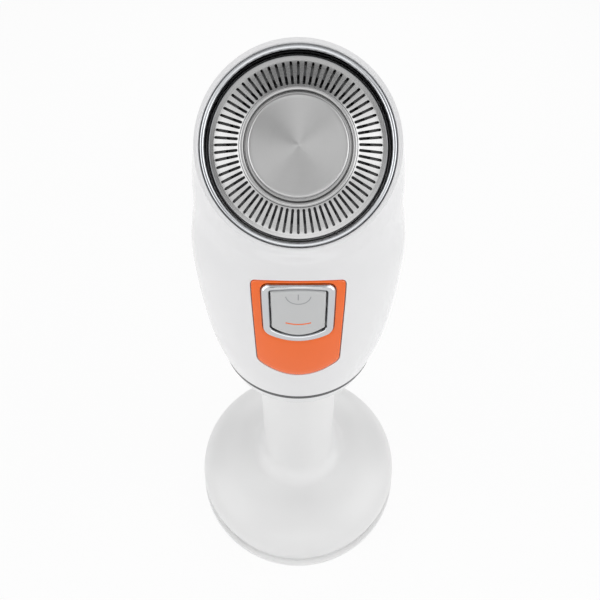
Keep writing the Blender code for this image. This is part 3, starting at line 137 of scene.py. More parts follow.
def skinned(rings, wrap=False):
    """A closed mesh over rings of points. It wraps from the last to the first, or ends in caps."""
    work = bmesh.new()
    hoops = [[work.verts.new(point) for point in ring] for ring in rings]
    if wrap:
        hoops.append(hoops[0])
    for one, other in zip(hoops, hoops[1:]):
        for i in range(len(one)):
            work.faces.new((one[i - 1], one[i], other[i], other[i - 1]))
    if not wrap:
        work.faces.new(hoops[0])
        work.faces.new(hoops[-1])
    bmesh.ops.remove_doubles(work, verts=work.verts, dist=SAME)
    return finished(work)


def turned(profile, steps=160, wrap=False):
    """A profile of (radius, height) turned round Z. One that wraps is a ring round an open middle."""
    turn = [math.tau * k / steps for k in range(steps)]
    rings = [[(r * math.cos(a), r * math.sin(a), height) for a in turn] for r, height in profile]
    return skinned(rings, wrap)


def facing_back(mesh, x, z):
    """The mesh with its own Z axis turned to the back, at (x, z)."""
    mesh.transform(Matrix.Translation((x, 0, z)) @ Matrix.Rotation(-math.pi / 2, 4, "X"))
    return mesh


def bar(radius, near, far, at, steps):
    """A round bar along Y through (x, z)."""
    return facing_back(turned([(radius, far), (radius, near)], steps), *at)


def brick(low, high):
    """A block between two opposite corners."""
    corners = [(low[0], low[1]), (high[0], low[1]), (high[0], high[1]), (low[0], high[1])]
    return skinned([[(x, y, z) for x, y in corners] for z in (low[2], high[2])])


# %% Booleans
CRUMB = 0.002 * mm  # corners closer than this are welded after a Boolean


def carved(mesh, operation, *tools):
    """The mesh after an exact Boolean with each of the tools. The tools are used up."""
    thing = placed("carving", mesh)
    helpers = [placed("tool", tool) for tool in tools]
    for helper in helpers:
        modifier = thing.modifiers.new("carve", "BOOLEAN")
        modifier.operation = operation
        modifier.solver = "EXACT"
        modifier.object = helper
    graph = bpy.context.evaluated_depsgraph_get()
    made = bpy.data.meshes.new_from_object(thing.evaluated_get(graph))
    for used in [thing, *helpers]:
        bpy.data.objects.remove(used)
    work = bmesh.new()
    work.from_mesh(made)
    bmesh.ops.remove_doubles(work, verts=work.verts, dist=CRUMB)
    bmesh.ops.dissolve_degenerate(work, edges=work.edges, dist=CRUMB)
    work.to_mesh(made)
    work.free()
    return made


# %% Dressing a solid
SHARP = 32  # degrees: flatter edges are shaded smooth


def dress(name, mesh, finish, *nodes, body="body", place=None):
    """Shows the mesh for those solids, with that finish, and lets it ride on their body."""
    thing = placed(name, mesh)
    if place is not None:
        thing.matrix_world = place
    mesh.materials.clear()
    mesh.materials.append(finish)
    mesh.shade_smooth()
    mesh.set_sharp_from_angle(angle=math.radians(SHARP))
    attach(thing, body)
    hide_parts(*nodes)
    print(name, "has", len(mesh.polygons), "faces")
    return thing


# %% [markdown]
# ## Finishes
#
# Each finish starts from the real material: what it is called, how its surface was made, and what
# that does to the light. Colours are written as sRGB hex values, as on a colour card, and one
# function turns them into the linear values that Blender works with. Patterns are set in
# millimetres: a noise scale of 1 over the size gives features of that size.


# %% Colour and node helpers
def linear(colour):
    """A hex colour such as #f0f0ee as linear RGBA."""
    parts = [int(colour[i : i + 2], 16) / 255 for i in (1, 3, 5)]
    return (*[c / 12.92 if c <= 0.04045 else ((c + 0.055) / 1.055) ** 2.4 for c in parts], 1)


def per(size):
    """The texture scale that gives features of a size in metres."""
    return 1 / size


def node(tree, kind, links=None, **settings):
    """Adds a node, sets what it is given, and links or fills its inputs."""
    made = tree.nodes.new("ShaderNode" + kind)
    for key, value in settings.items():
        setattr(made, key, value)
    for key, value in (links or {}).items():
        if isinstance(value, bpy.types.NodeSocket):
            tree.links.new(value, made.inputs[key])
        else:
            made.inputs[key].default_value = value
    return made


def spread(tree, noise, low, high):
    """Turns a noise, whose middle runs from 0.3 to 0.7, into values from low to high."""
    return node(tree, "MapRange", {0: noise.outputs["Fac"], 1: 0.3, 2: 0.7, 3: low, 4: high})


def tinted(tree, noise, shade, drift):
    """A colour that drifts between two shades with a noise."""
    links = {0: noise.outputs["Fac"], 6: linear(shade), 7: linear(drift)}
    return node(tree, "Mix", links, data_type="RGBA").outputs[2]


def blank(name, ior=None, metallic=0.0):
    """A new material: its tree, its shader and the coordinates that stay with the piece."""
    made = bpy.data.materials.new(name)
    made.use_nodes = True
    tree = made.node_tree
    shader = tree.nodes["Principled BSDF"]
    shader.inputs["Metallic"].default_value = metallic
    if ior is not None:
        shader.inputs["IOR"].default_value = ior
    place = node(tree, "TexCoord").outputs["Object"]
    return made, tree, shader, place


# %% [markdown]
# ### Moulded plastics
#
# ABS comes out of a polished mould with a gloss like lacquer. What gives it away is the very slow
# waviness where the wall cooled, and a gloss that isn't quite even. The foot comes from a mould
# that was etched by sparks: its surface is a fine, even grain that spreads the light. Both are one
# recipe with other numbers: two close shades, a roughness that drifts, and a bump.


# %% Recipe for moulded plastic
def moulded(name, shade, drift, roughness, grain, depth, ior=1.54):
    """Plastic with two close shades, a range of roughness, and a grain of a size and a depth."""
    made, tree, shader, place = blank(name, ior)
    cloud = node(tree, "TexNoise", {"Vector": place, "Scale": per(35 * mm), "Detail": 2.0})
    tree.links.new(tinted(tree, cloud, shade, drift), shader.inputs["Base Color"])
    smear = node(tree, "TexNoise", {"Vector": place, "Scale": per(4 * mm), "Detail": 4.0})
    gloss = spread(tree, smear, *roughness)
    tree.links.new(gloss.outputs[0], shader.inputs["Roughness"])
    pits = node(tree, "TexNoise", {"Vector": place, "Scale": per(grain), "Detail": 3.0, "Roughness": 0.6})
    relief = node(tree, "Bump", {"Height": pits.outputs["Fac"], "Distance": depth, "Strength": 1.0})
    tree.links.new(relief.outputs[0], shader.inputs["Normal"])
    return made


GLOSSY_WHITE = moulded("polished_mould_white_abs", "#f3f3f4", "#eeeeef", (0.07, 0.11), 9 * mm, 0.012 * mm)
SATIN_WHITE = moulded("spark_eroded_white_abs", "#f3f3f3", "#eeeeee", (0.32, 0.40), 0.5 * mm, 0.010 * mm)
ORANGE = moulded("polished_mould_orange_abs", "#ff7018", "#fc6a12", (0.08, 0.12), 9 * mm, 0.008 * mm)
LIGHT_GREY = moulded("satin_mould_light_grey_abs", "#cfd0d0", "#c9cacb", (0.20, 0.26), 3 * mm, 0.006 * mm)
TRIM_GREY = moulded("polished_mould_smoke_grey_abs", "#5a5a5c", "#525254", (0.12, 0.18), 6 * mm, 0.006 * mm)
GREY_NYLON = moulded("moulded_grey_nylon", "#6f7173", "#66686a", (0.42, 0.5), 1.2 * mm, 0.02 * mm, 1.53)
PHENOLIC = moulded("pressed_brown_phenolic", "#4a2a18", "#3c2112", (0.42, 0.55), 0.8 * mm, 0.02 * mm, 1.6)
print("plastics:", GLOSSY_WHITE.name, SATIN_WHITE.name, ORANGE.name, LIGHT_GREY.name, TRIM_GREY.name)

# %% [markdown]
# ### Rubber, silicone and the tank's plastic
#
# Rubber keeps almost no highlight and shows a fine dust. Silicone hose and the blown
# polypropylene of the tank are milky: some light enters, spreads and comes out again, which
# subsurface scattering gives.


# %% Soft and milky plastics
def milky(name, shade, drift, roughness, reach, ior):
    """A translucent plastic in which light spreads over a reach."""
    made = moulded(name, shade, drift, roughness, 2 * mm, 0.02 * mm, ior)
    shader = made.node_tree.nodes["Principled BSDF"]
    shader.inputs["Subsurface Weight"].default_value = 0.6
    shader.inputs["Subsurface Scale"].default_value = reach
    return made


RUBBER = moulded("moulded_black_rubber", "#2a2a2b", "#222223", (0.62, 0.78), 0.35 * mm, 0.03 * mm, 1.52)
SILICONE = milky("extruded_silicone_hose", "#e2e4e3", "#d8dbda", (0.3, 0.4), 1.5 * mm, 1.41)
MILKY_TANK = milky("blow_moulded_polypropylene", "#e4eaec", "#dbe3e6", (0.25, 0.35), 3 * mm, 1.49)
print("soft plastics:", RUBBER.name, SILICONE.name, MILKY_TANK.name)

# %% [markdown]
# ### Chrome plating
#
# The bezel and the frame of the switch are plastic with a bright chrome layer. It is nearly a
# mirror, so most of what we see is the room. The layer still follows the plastic under it: a
# shallow orange peel, a few millimetres across, bends the reflections a little.

# %% Chrome
CHROME, tree, shader, place = blank("chrome_plated_abs", metallic=1.0)
film = node(tree, "TexNoise", {"Vector": place, "Scale": per(12 * mm), "Detail": 2.0})
tree.links.new(tinted(tree, film, "#cdcfd2", "#c5c7ca"), shader.inputs["Base Color"])
haze = node(tree, "TexNoise", {"Vector": place, "Scale": per(2 * mm), "Detail": 3.0})
gloss = spread(tree, haze, 0.05, 0.10)
tree.links.new(gloss.outputs[0], shader.inputs["Roughness"])
peel = node(tree, "Bump", {"Height": film.outputs["Fac"], "Distance": 0.01 * mm, "Strength": 1.0})
tree.links.new(peel.outputs[0], shader.inputs["Normal"])
print("metal:", CHROME.name)

# %% [markdown]
# ### Spun stainless steel
#
# The steam plate and its centre disc were turned against an abrasive pad. The pad leaves fine
# grooves that run round the centre, so a highlight is stretched across them: it opens into the
# bright and dark wedges that everyone knows from the lid of a pan. Anisotropic reflection with a
# tangent that runs round the axis gives the wedges. Real grooves are about 0.02 mm apart, far too
# fine to show, so the visible ones are drawn 0.25 mm apart.


# %% Spun steel
def spun_steel(name, shade, drift, roughness, stretch):
    """Stainless steel with grooves round its own Z axis."""
    made, tree, shader, place = blank(name, metallic=1.0)
    flat = node(tree, "VectorMath", {0: place, 1: (1.0, 1.0, 0.0)}, operation="MULTIPLY")
    out = node(tree, "VectorMath", {0: flat.outputs[0]}, operation="LENGTH")
    groove = node(tree, "TexNoise", {"W": out.outputs["Value"], "Scale": per(0.25 * mm), "Detail": 1.0},
                  noise_dimensions="1D")
    cloud = node(tree, "TexNoise", {"Vector": place, "Scale": per(9 * mm), "Detail": 3.0})
    tone = tinted(tree, cloud, shade, drift)
    line = spread(tree, groove, 0.97, 1.0)
    lined = node(tree, "Mix", {0: 1.0, 6: tone, 7: line.outputs[0]}, data_type="RGBA", blend_type="MULTIPLY")
    tree.links.new(lined.outputs[2], shader.inputs["Base Color"])
    gloss = spread(tree, groove, *roughness)
    tree.links.new(gloss.outputs[0], shader.inputs["Roughness"])
    relief = node(tree, "Bump", {"Height": groove.outputs["Fac"], "Distance": 0.001 * mm, "Strength": 1.0})
    tree.links.new(relief.outputs[0], shader.inputs["Normal"])
    round_axis = node(tree, "Tangent", direction_type="RADIAL", axis="Z")
    tree.links.new(round_axis.outputs[0], shader.inputs["Tangent"])
    shader.inputs["Anisotropic"].default_value = stretch
    return made


SPUN_PLATE = spun_steel("spun_stainless_plate", "#b8b8b8", "#b0b0b0", (0.26, 0.32), 0.5)
SPUN_DISC = spun_steel("spun_stainless_disc", "#bebebe", "#b7b7b7", (0.28, 0.34), 0.9)
print("metal:", SPUN_PLATE.name, SPUN_DISC.name)

# %% [markdown]
# ### The metals inside
#
# Nobody sees them until the steamer is opened, but each has its own surface: die-cast aluminium
# is matt and darkened by heat, sand-cast iron is dark and coarse, and zinc-plated steel has a cool
# shine with pale clouds. Raised edges rub bright, which the pointiness of the mesh picks out.


# %% Recipe for bare metals
def bare_metal(name, shade, drift, roughness, grain, depth):
    """A metal with clouds of two shades, a grain, and edges that are rubbed brighter."""
    made, tree, shader, place = blank(name, metallic=1.0)
    cloud = node(tree, "TexNoise", {"Vector": place, "Scale": per(6 * mm), "Detail": 5.0})
    tone = tinted(tree, cloud, shade, drift)
    ridge = node(tree, "NewGeometry").outputs["Pointiness"]
    edge = node(tree, "MapRange", {0: ridge, 1: 0.52, 2: 0.6, 3: 0.0, 4: 0.35})
    worn = node(tree, "Mix", {0: edge.outputs[0], 6: tone, 7: linear("#d8d8d8")}, data_type="RGBA")
    tree.links.new(worn.outputs[2], shader.inputs["Base Color"])
    skin = node(tree, "TexNoise", {"Vector": place, "Scale": per(grain), "Detail": 4.0, "Roughness": 0.65})
    gloss = spread(tree, skin, *roughness)
    tree.links.new(gloss.outputs[0], shader.inputs["Roughness"])
    relief = node(tree, "Bump", {"Height": skin.outputs["Fac"], "Distance": depth, "Strength": 1.0})
    tree.links.new(relief.outputs[0], shader.inputs["Normal"])
    return made


CAST_ALUMINIUM = bare_metal("die_cast_aluminium", "#77787a", "#6b6c6e", (0.5, 0.6), 0.6 * mm, 0.02 * mm)
CAST_IRON = bare_metal("sand_cast_iron", "#4a4a4c", "#3b3b3d", (0.6, 0.75), 0.9 * mm, 0.08 * mm)
ZINC_STEEL = bare_metal("zinc_plated_steel", "#b4b7bb", "#a6a9ad", (0.22, 0.36), 1.5 * mm, 0.008 * mm)
ALUMINISED = bare_metal("pressed_aluminised_steel", "#a9a9a8", "#9c9c9b", (0.3, 0.42), 2.5 * mm, 0.01 * mm)
print("metals:", CAST_ALUMINIUM.name, CAST_IRON.name, ZINC_STEEL.name, ALUMINISED.name)

# %% Finishes for the solids that are shown as they are
INSIDE = {
    ZINC_STEEL: ["base_screw_1", "base_screw_2", "base_screw_3", "base_screw_4", "tie_tube",
                 "tie_nut_lower", "tie_nut_upper", "disc_nut", "heating_element", "thermal_fuse"],
    CAST_IRON: ["counterweight"],
    CAST_ALUMINIUM: ["steam_chamber"],
    ALUMINISED: ["heat_shield"],
    PHENOLIC: ["thermostat"],
    LIGHT_GREY: ["switch_body", "terminal_block"],
    MILKY_TANK: ["water_tank"],
    RUBBER: ["cap_seal", "inner_lead"],
    GREY_NYLON: ["water_pump"],
    SILICONE: ["suction_hose", "feed_hose"],
}
for finish, names in INSIDE.items():
    for name in names:
        frame["nodes"][name].data.materials.clear()
        frame["nodes"][name].data.materials.append(finish)
print("finished inside:", sum(len(names) for names in INSIDE.values()), "solids")

# %% [markdown]
# ## The foot and the stem
#
# The foot is one bell-shaped moulding: a nearly upright wall, a full shoulder, a root that sweeps
# up into the stem. A pan closes it from below. The wall stands back a little at the seam, so the
# pan's rolled lip shows as a thin band. All of it is turned, so a profile says everything. The
# profile keeps the wall's real thickness, so that the hole for the cord's bushing shows an honest
# edge.

# %% Foot pan
FACETS = 192  # sides of the large turned pieces
pan_low, pan_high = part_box("foot_base")
pad_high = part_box("foot_pad")[1]
bell_low, bell_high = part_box("pedestal")
FOOT = bell_high.x
SEAM = bell_low.z
LIP_UNDER = FOOT - 3.4 * mm  # where the lip meets the underside
LIP_ROUND = 0.7 * mm
WAIST = FOOT - 2.8 * mm  # the bell's wall at the seam
RIDGE = (FOOT - 8 * mm, FOOT - 5.9 * mm)  # a ring on the pan that centres the bell
lip_top = SEAM - GAP
deck = SEAM - 2.4 * mm
lip = lip_top - LIP_ROUND
pan = [(0, deck), (RIDGE[0], deck), (RIDGE[0], pan_high.z), (RIDGE[1], pan_high.z)]
pan += [(RIDGE[1] + 0.2 * mm, lip_top), (WAIST + 0.1 * mm, lip_top), (WAIST + GAP, lip_top - GAP)]
pan += [(WAIST + 0.7 * mm, lip_top), (FOOT - LIP_ROUND, lip_top)]
pan += bow((FOOT - LIP_ROUND, lip), (LIP_ROUND, LIP_ROUND), 90, 0, 5)
pan += bow((LIP_UNDER, lip), (FOOT - LIP_UNDER, lip - pan_low.z), -2, -90, 14)
pan += [(pad_high.x + GAP, pan_low.z), (pad_high.x + GAP, pad_high.z + GAP), (0, pad_high.z + GAP)]
dress("foot_pan", turned(pan, FACETS), SATIN_WHITE, "foot_base")

# %% Rubber pad with its grip grooves
GROOVES = [r * mm for r in (44, 36, 28, 20, 12)]
GROOVE = 0.5 * mm  # half the width of a groove's floor, and its depth
FLARE = 0.4 * mm  # how far a groove's sides lean outwards
EDGE = 0.5 * mm
pad = [(0, pad_high.z), (pad_high.x, pad_high.z)]
pad += bow((pad_high.x - EDGE, EDGE), (EDGE, EDGE), 0, -90, 4)
for groove in GROOVES:
    pad += [(groove + GROOVE + FLARE, 0), (groove + GROOVE, GROOVE)]
    pad += [(groove - GROOVE, GROOVE), (groove - GROOVE - FLARE, 0)]
pad += [(0, 0)]
dress("rubber_pad", turned(pad, 144), RUBBER, "foot_pad")

# %% Bell foot with its stem
neck_low, neck_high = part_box("neck_collar")
STEM_TOP = neck_low.z - GAP
STEM = 18.7 * mm
ROOT = 9 * mm  # radius of the sweep between stem and shoulder
ROOT_PLACE = (20 * mm + ROOT, 45 * mm)
SHOULDER = (33 * mm, 17 * mm)  # centre of the shoulder's elliptical arc
CROWN = 19 * mm  # height of that arc
WALL = 2.6 * mm
SPIGOT = 15.2 * mm  # the tube on top of the stem that enters the collar
LEAD = 0.8 * mm  # its lead-in


def bell_side(grow, steps):
    """The bell's side from the stem's top down to the seam, grown by an amount."""
    sweep = (FOOT - 1 * mm - SHOULDER[0] + grow, CROWN + grow)
    side = [(STEM + grow, STEM_TOP)]
    side += bow(ROOT_PLACE, (ROOT - grow, ROOT - grow), 180, 270, steps)
    side += bow(SHOULDER, sweep, 90, 0, 2 * steps)
    return side + [(WAIST + grow, SEAM + max(0, 0.5 * mm + grow))]


corner = [(SPIGOT, STEM_TOP, 0), (STEM, STEM_TOP, 0.35 * mm), (STEM, STEM_TOP - 2 * mm, 0)]
bell = [(SPIGOT - 0.6 * mm, bell_high.z), (SPIGOT, bell_high.z - LEAD), (SPIGOT, STEM_TOP)]
bell += eased(corner, 3, False)[1:-1]
bell += bell_side(0, 12)[1:]
bell += [(WAIST - 0.5 * mm, SEAM), (WAIST - WALL, SEAM)]
bell += bell_side(-WALL, 6)[1:-1][::-1]
bell += [(STEM - WALL, STEM_TOP - 5 * mm), (SPIGOT - WALL, STEM_TOP - mm), (SPIGOT - WALL, bell_high.z)]
gland_low, gland_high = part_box("cord_gland")
GLAND = (gland_low.z + gland_high.z) / 2
GLAND_HOLE = 4.3 * mm
hole = bar(GLAND_HOLE, FOOT - 12 * mm, FOOT + 5 * mm, (0, GLAND), 48)
dress("bell_foot", carved(turned(bell, FACETS, wrap=True), "DIFFERENCE", hole), SATIN_WHITE, "pedestal")

# %% Cord bushing
# A flange outside the wall, a neck through it and a barbed ring inside.
flange = (gland_high.x - gland_low.x) / 2
slant = (SHOULDER[1] - GLAND) / (SHOULDER[1] - SEAM)
outer = FOOT - mm - (FOOT - mm - WAIST) * slant + 0.35 * mm
CORD_HOLE, BUSHING_NECK, BARB, FLANGE_ROUND = 3.2 * mm, 4 * mm, 1.6 * mm, 1.2 * mm
bushing = [(CORD_HOLE, gland_high.y)]
bushing += bow((flange - FLANGE_ROUND, gland_high.y - FLANGE_ROUND), (FLANGE_ROUND, FLANGE_ROUND), 90, 0, 6)
bushing += [(flange, outer), (BUSHING_NECK, outer), (BUSHING_NECK, gland_low.y + BARB)]
bushing += [(flange - 0.6 * mm, gland_low.y + BARB), (flange - 1.4 * mm, gland_low.y)]
bushing += [(CORD_HOLE, gland_low.y)]
dress("cord_bushing", facing_back(turned(bushing, 64, wrap=True), 0, GLAND), RUBBER, "cord_gland")

# %% Neck collar
# A short upright band under the trim ring. Below it the collar falls towards the stem.
trim_low, trim_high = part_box("trim_ring")
NECK = neck_high.x
NECK_BAND = 6.2 * mm
NECK_TAPER = 0.5 * mm
NECK_EDGE = 1.3 * mm
NECK_ROOT = 4 * mm
NECK_SLOPE = math.radians(17)
TUBE = (29.3 * mm, 31.3 * mm)  # the ring that enters the housing
TIE_HOLE = 5.3 * mm
DECK = 3 * mm
neck_top = trim_low.z - GAP
centre = NECK - NECK_TAPER - NECK_EDGE
under = bow((centre, neck_top - NECK_BAND + NECK_EDGE), (NECK_EDGE, NECK_EDGE), 0, -73, 8)
meet = STEM + NECK_ROOT * (1 - math.sin(NECK_SLOPE))
root_z = under[-1].y - (under[-1].x - meet) * math.tan(NECK_SLOPE) - NECK_ROOT * math.cos(NECK_SLOPE)
neck = [(TUBE[1] - LEAD, neck_high.z), (TUBE[1], neck_high.z - 1 * mm), (TUBE[1], neck_top)]
neck += [(NECK - 0.2 * mm, neck_top), (NECK, neck_top - 0.2 * mm)]
neck += under + bow((STEM + NECK_ROOT, root_z), (NECK_ROOT, NECK_ROOT), 107, 180, 10)
neck += [(STEM, neck_low.z + GAP), (STEM - GAP, neck_low.z), (SPIGOT + GAP, neck_low.z)]
neck += [(SPIGOT + GAP, neck_top - DECK), (TIE_HOLE, neck_top - DECK), (TIE_HOLE, neck_top)]
neck += [(TUBE[0], neck_top), (TUBE[0], neck_high.z)]
dress("neck_moulding", turned(neck, FACETS, wrap=True), GLOSSY_WHITE, "neck_collar")

# %% Trim ring
TRIM = trim_high.x
TRIM_ROUND = 0.6 * mm
trim = [(TUBE[1] + GAP, trim_high.z)]
trim += bow((TRIM - TRIM_ROUND, trim_high.z - TRIM_ROUND), (TRIM_ROUND, TRIM_ROUND), 90, 0, 5)
trim += bow((TRIM - TRIM_ROUND, trim_low.z + TRIM_ROUND), (TRIM_ROUND, TRIM_ROUND), 0, -90, 5)
trim += [(TUBE[1] + GAP, trim_low.z)]
dress("trim_band", turned(trim, FACETS, wrap=True), TRIM_GREY, "trim_ring")

# %% [markdown]
# ## The bent housing
#
# The housing is one smooth form: a circle that travels along a curve from the neck, where it lies
# level, to the steam head, where it leans fifty degrees forward, and that swells and shrinks on
# its way. A Bezier curve gives the path and a list of radii gives the swelling. The mould splits
# it into a front and a rear half, and four screws from behind hold them together.

# %% The form's path
HEAD_TILT = math.radians(50)
AXIS = Vector((0, -math.sin(HEAD_TILT), math.cos(HEAD_TILT)))
ring_low, ring_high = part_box("bezel_ring")
RING_MIDDLE = -2.9 * mm  # the bezel's middle lies this far behind the rim
HEAD_CENTRE = (ring_low + ring_high) / 2 - AXIS * RING_MIDDLE
HEAD = Matrix.Translation(HEAD_CENTRE) @ Matrix.Rotation(HEAD_TILT, 4, "X")
START = Vector((0, 0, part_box("front_housing")[0].z))
RISE = START + Vector((0, 0, 19.5 * mm))
REACH = HEAD_CENTRE - AXIS * 36.5 * mm
RADII = [r * mm for r in (34.0, 37.5, 39.9, 41.2, 41.2, 38.1, 36.0, 32.4)]
HOUSING_WALL = 2.4 * mm
RIGHT = Vector((1, 0, 0))
print("head centre", [round(v / mm, 2) for v in HEAD_CENTRE])


def path(u):
    """(middle, backward direction) of the section at u, from 0 at the neck to 1 at the rim."""
    v = 1 - u
    middle = v**3 * START + 3 * v * v * u * RISE + 3 * v * u * u * REACH + u**3 * HEAD_CENTRE
    along = v * v * (RISE - START) + 2 * v * u * (REACH - RISE) + u * u * (HEAD_CENTRE - REACH)
    return middle, along.normalized().cross(RIGHT)


def swell(u):
    """The section's radius at u, on a smooth line through RADII."""
    last = len(RADII) - 1
    i = min(int(u * last), last - 1)
    t = u * last - i
    before, here, after, beyond = (RADII[min(max(k, 0), last)] for k in range(i - 1, i + 3))
    leave = (after - before) / 2 if i > 0 else after - here
    arrive = (beyond - here) / 2 if i < last - 1 else after - here
    start = (2 * t**3 - 3 * t**2 + 1) * here + (t**3 - 2 * t**2 + t) * leave
    return start + (3 * t**2 - 2 * t**3) * after + (t**3 - t**2) * arrive


def hoops(lift, count=56, sides=144):
    """All rings of the housing grown by lift."""
    turn = [math.tau * (k + 0.5) / sides for k in range(sides)]
    rings = []
    for k in range(count + 1):
        middle, back = path(k / count)
        radius = swell(k / count) + lift
        rings.append([middle + radius * (math.cos(a) * RIGHT + math.sin(a) * back) for a in turn])
    return rings


def housing_wall():
    """The housing's wall, open at both ends."""
    return skinned(hoops(0) + hoops(-HOUSING_WALL)[::-1], wrap=True)


# %% Outlines on the housing's front
def on_front(x, z, lift):
    """The place on the housing's front, straight ahead of (x, z), lifted off it."""
    low, high = 0.0, 1.0
    for _ in range(26):
        u = (low + high) / 2
        middle, back = path(u)
        radius = swell(u) + lift
        depth = math.sqrt(radius * radius - x * x)
        low, high = (u, high) if middle.z - depth * back.z < z else (low, u)
    return middle + Vector((x, 0, 0)) - depth * back


def shield(half_top, half_bottom, high, low, rise, dip, corner, grow=0.0):
    """A panel's outline as (x, z) points: eased corners, an arched top and a dipped bottom."""
    top, bottom = half_top + grow, half_bottom + grow
    high, low, corner = high + grow, low - grow, max(corner + grow, 0.25 * mm)
    corners = [(-bottom, low, corner), (bottom, low, corner), (top, high, corner), (-top, high, corner)]
    around = eased(corners, 6)
    points = []
    for i, here in enumerate(around):
        there = around[(i + 1) % len(around)]
        steps = 22 if (there - here).length > 3 * mm else 1
        points += [here.lerp(there, k / steps) for k in range(steps)]
    middle = (high + low) / 2
    up = [(p.x, p.y + rise * (1 - (p.x / top) ** 2)) for p in points]
    down = [(p.x, p.y - dip * (1 - (p.x / bottom) ** 2)) for p in points]
    return [a if p.y > middle else b for p, a, b in zip(points, up, down)]


def millimetres(*sizes):
    """Sizes that are written in millimetres, in metres."""
    return [size * mm for size in sizes]


# Half width at the top and at the bottom, top, bottom, rise, dip and corner of each outline.
FASCIA = millimetres(15.8, 15.5, 200.7, 162.6, 1.9, 5.7, 1.4)
FRAME = millimetres(12.4, 12.4, 200.2, 179.6, 1.4, 2.4, 2.2)
WINDOW = millimetres(9.8, 9.8, 198.9, 182.0, 1.4, 2.4, 0.7)
ROCKER = millimetres(9.8, 9.8, 198.9, 182.6, 1.4, 2.4, 0.7)  # lower edge higher: room for its swing
ROCKER_CLEARANCE = 0.5 * mm


def rocker_line(grow=0.0):
    """The rocker's outline: the window less its clearance."""
    return shield(*ROCKER, grow - ROCKER_CLEARANCE)


def blended(one, other, share):
    """The outline that lies a share of the way from one to the other."""
    return [(a[0] + (b[0] - a[0]) * share, a[1] + (b[1] - a[1]) * share) for a, b in zip(one, other)]


def between(one, other, count):
    """Outlines from one to the other."""
    return [blended(one, other, k / count) for k in range(count + 1)]


def shrunk(outline, share=0.04):
    """A small copy of an outline in its own middle."""
    middle = sum(z for _, z in outline) / len(outline)
    return [(x * share, middle + (z - middle) * share) for x, z in outline]


def laid(outline, lift):
    """An outline laid on the front at a lift."""
    return [on_front(x, z, lift) for x, z in outline]


# %% Cutters for the halves
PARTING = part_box("rear_housing")[0].y - GAP
RING_DEPTH = 8 * mm  # the front half's full ring round the head
FAR = 0.2  # beyond the object on every side
BORE = ring_high.x + GAP
LIP_ON_RIM = 0.75 * mm
SEAT_IN = 28.3 * mm  # the collar inside the rim that the bezel sits on
SEAT_DEPTH = 5.8 * mm


def behind(edge):
    """All that lies behind the parting and behind the head's full ring."""
    region = brick((-FAR, PARTING + edge, 0), (FAR, FAR, 2 * FAR))
    ahead = brick((-FAR, -FAR, -RING_DEPTH - edge), (FAR, FAR, FAR))
    ahead.transform(HEAD)
    return carved(region, "DIFFERENCE", ahead)


def in_head(mesh):
    """The mesh moved from the head's own frame to its place."""
    mesh.transform(HEAD)
    return mesh


seat_out = BORE + 0.7 * mm
seat_low = -SEAT_DEPTH - 2 * mm
seat_ring = [(SEAT_IN, -mm), (seat_out, -mm), (seat_out, seat_low), (SEAT_IN, seat_low)]
collar = in_head(turned(seat_ring, 168, wrap=True))
mouth = [(0, 10 * mm), (BORE + LIP_ON_RIM, 10 * mm)]
mouth += bow((BORE + LIP_ON_RIM, -LIP_ON_RIM), (LIP_ON_RIM, LIP_ON_RIM), 90, 180, 6)
mouth += [(BORE, -SEAT_DEPTH), (0, -SEAT_DEPTH)]
bore = in_head(turned(mouth, 168))
POCKET_DEPTH = 1.5 * mm
pocket_line = shield(*FASCIA, GAP)
inwards = between(pocket_line, shrunk(pocket_line), 12)
lid = [laid(line, 3 * mm) for line in inwards[::-1]]
pocket = skinned(lid + [laid(line, -POCKET_DEPTH) for line in inwards])
hatch = skinned([[(x, y, z) for x, z in rocker_line(2.2 * mm)] for y in (-0.08, 0.0)])
print("cutters:", len(pocket.polygons), "faces in the panel's pocket")

# %% Front half
front = carved(housing_wall(), "DIFFERENCE", behind(0))
front = carved(front, "UNION", collar)
front = carved(front, "DIFFERENCE", bore, pocket, hatch)
dress("front_shell", front, GLOSSY_WHITE, "front_housing")

# %% Rear half with its screw wells and filler
cap_low, cap_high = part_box("filler_cap")
CAP_Z = (cap_low.z + cap_high.z) / 2
SCREWS = []
for number in range(1, 5):
    low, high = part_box(f"housing_screw_{number}")
    SCREWS.append(((low.x + high.x) / 2, (low.z + high.z) / 2, low.y, high.y))
WELL, WELL_WALL, SCREW_HOLE = 2.9 * mm, 1 * mm, 1.7 * mm
DISH, DISH_WALL, DISH_FLOOR, FILLER = 14.4 * mm, 2.2 * mm, 39 * mm, 11.3 * mm
bosses = [bar(WELL + WELL_WALL, PARTING + GAP, 0.06, (x, z), 40) for x, z, _, _ in SCREWS]
bosses.append(bar(DISH + DISH_WALL, DISH_FLOOR - 4.4 * mm, 0.08, (0, CAP_Z), 96))
bosses = [carved(boss, "INTERSECT", skinned(hoops(-0.6 * mm))) for boss in bosses]
holes = [bar(WELL, PARTING + 10 * mm, 0.07, (x, z), 40) for x, z, _, _ in SCREWS]
holes += [bar(SCREW_HOLE, 0, 0.07, (x, z), 24) for x, z, _, _ in SCREWS]
holes += [bar(DISH, DISH_FLOOR, 0.09, (0, CAP_Z), 128), bar(FILLER, 0.02, 0.09, (0, CAP_Z), 96)]
rear = carved(housing_wall(), "INTERSECT", behind(GAP))
rear = carved(rear, "UNION", *bosses)
rear = carved(rear, "DIFFERENCE", *holes)
dress("rear_shell", rear, GLOSSY_WHITE, "rear_housing")

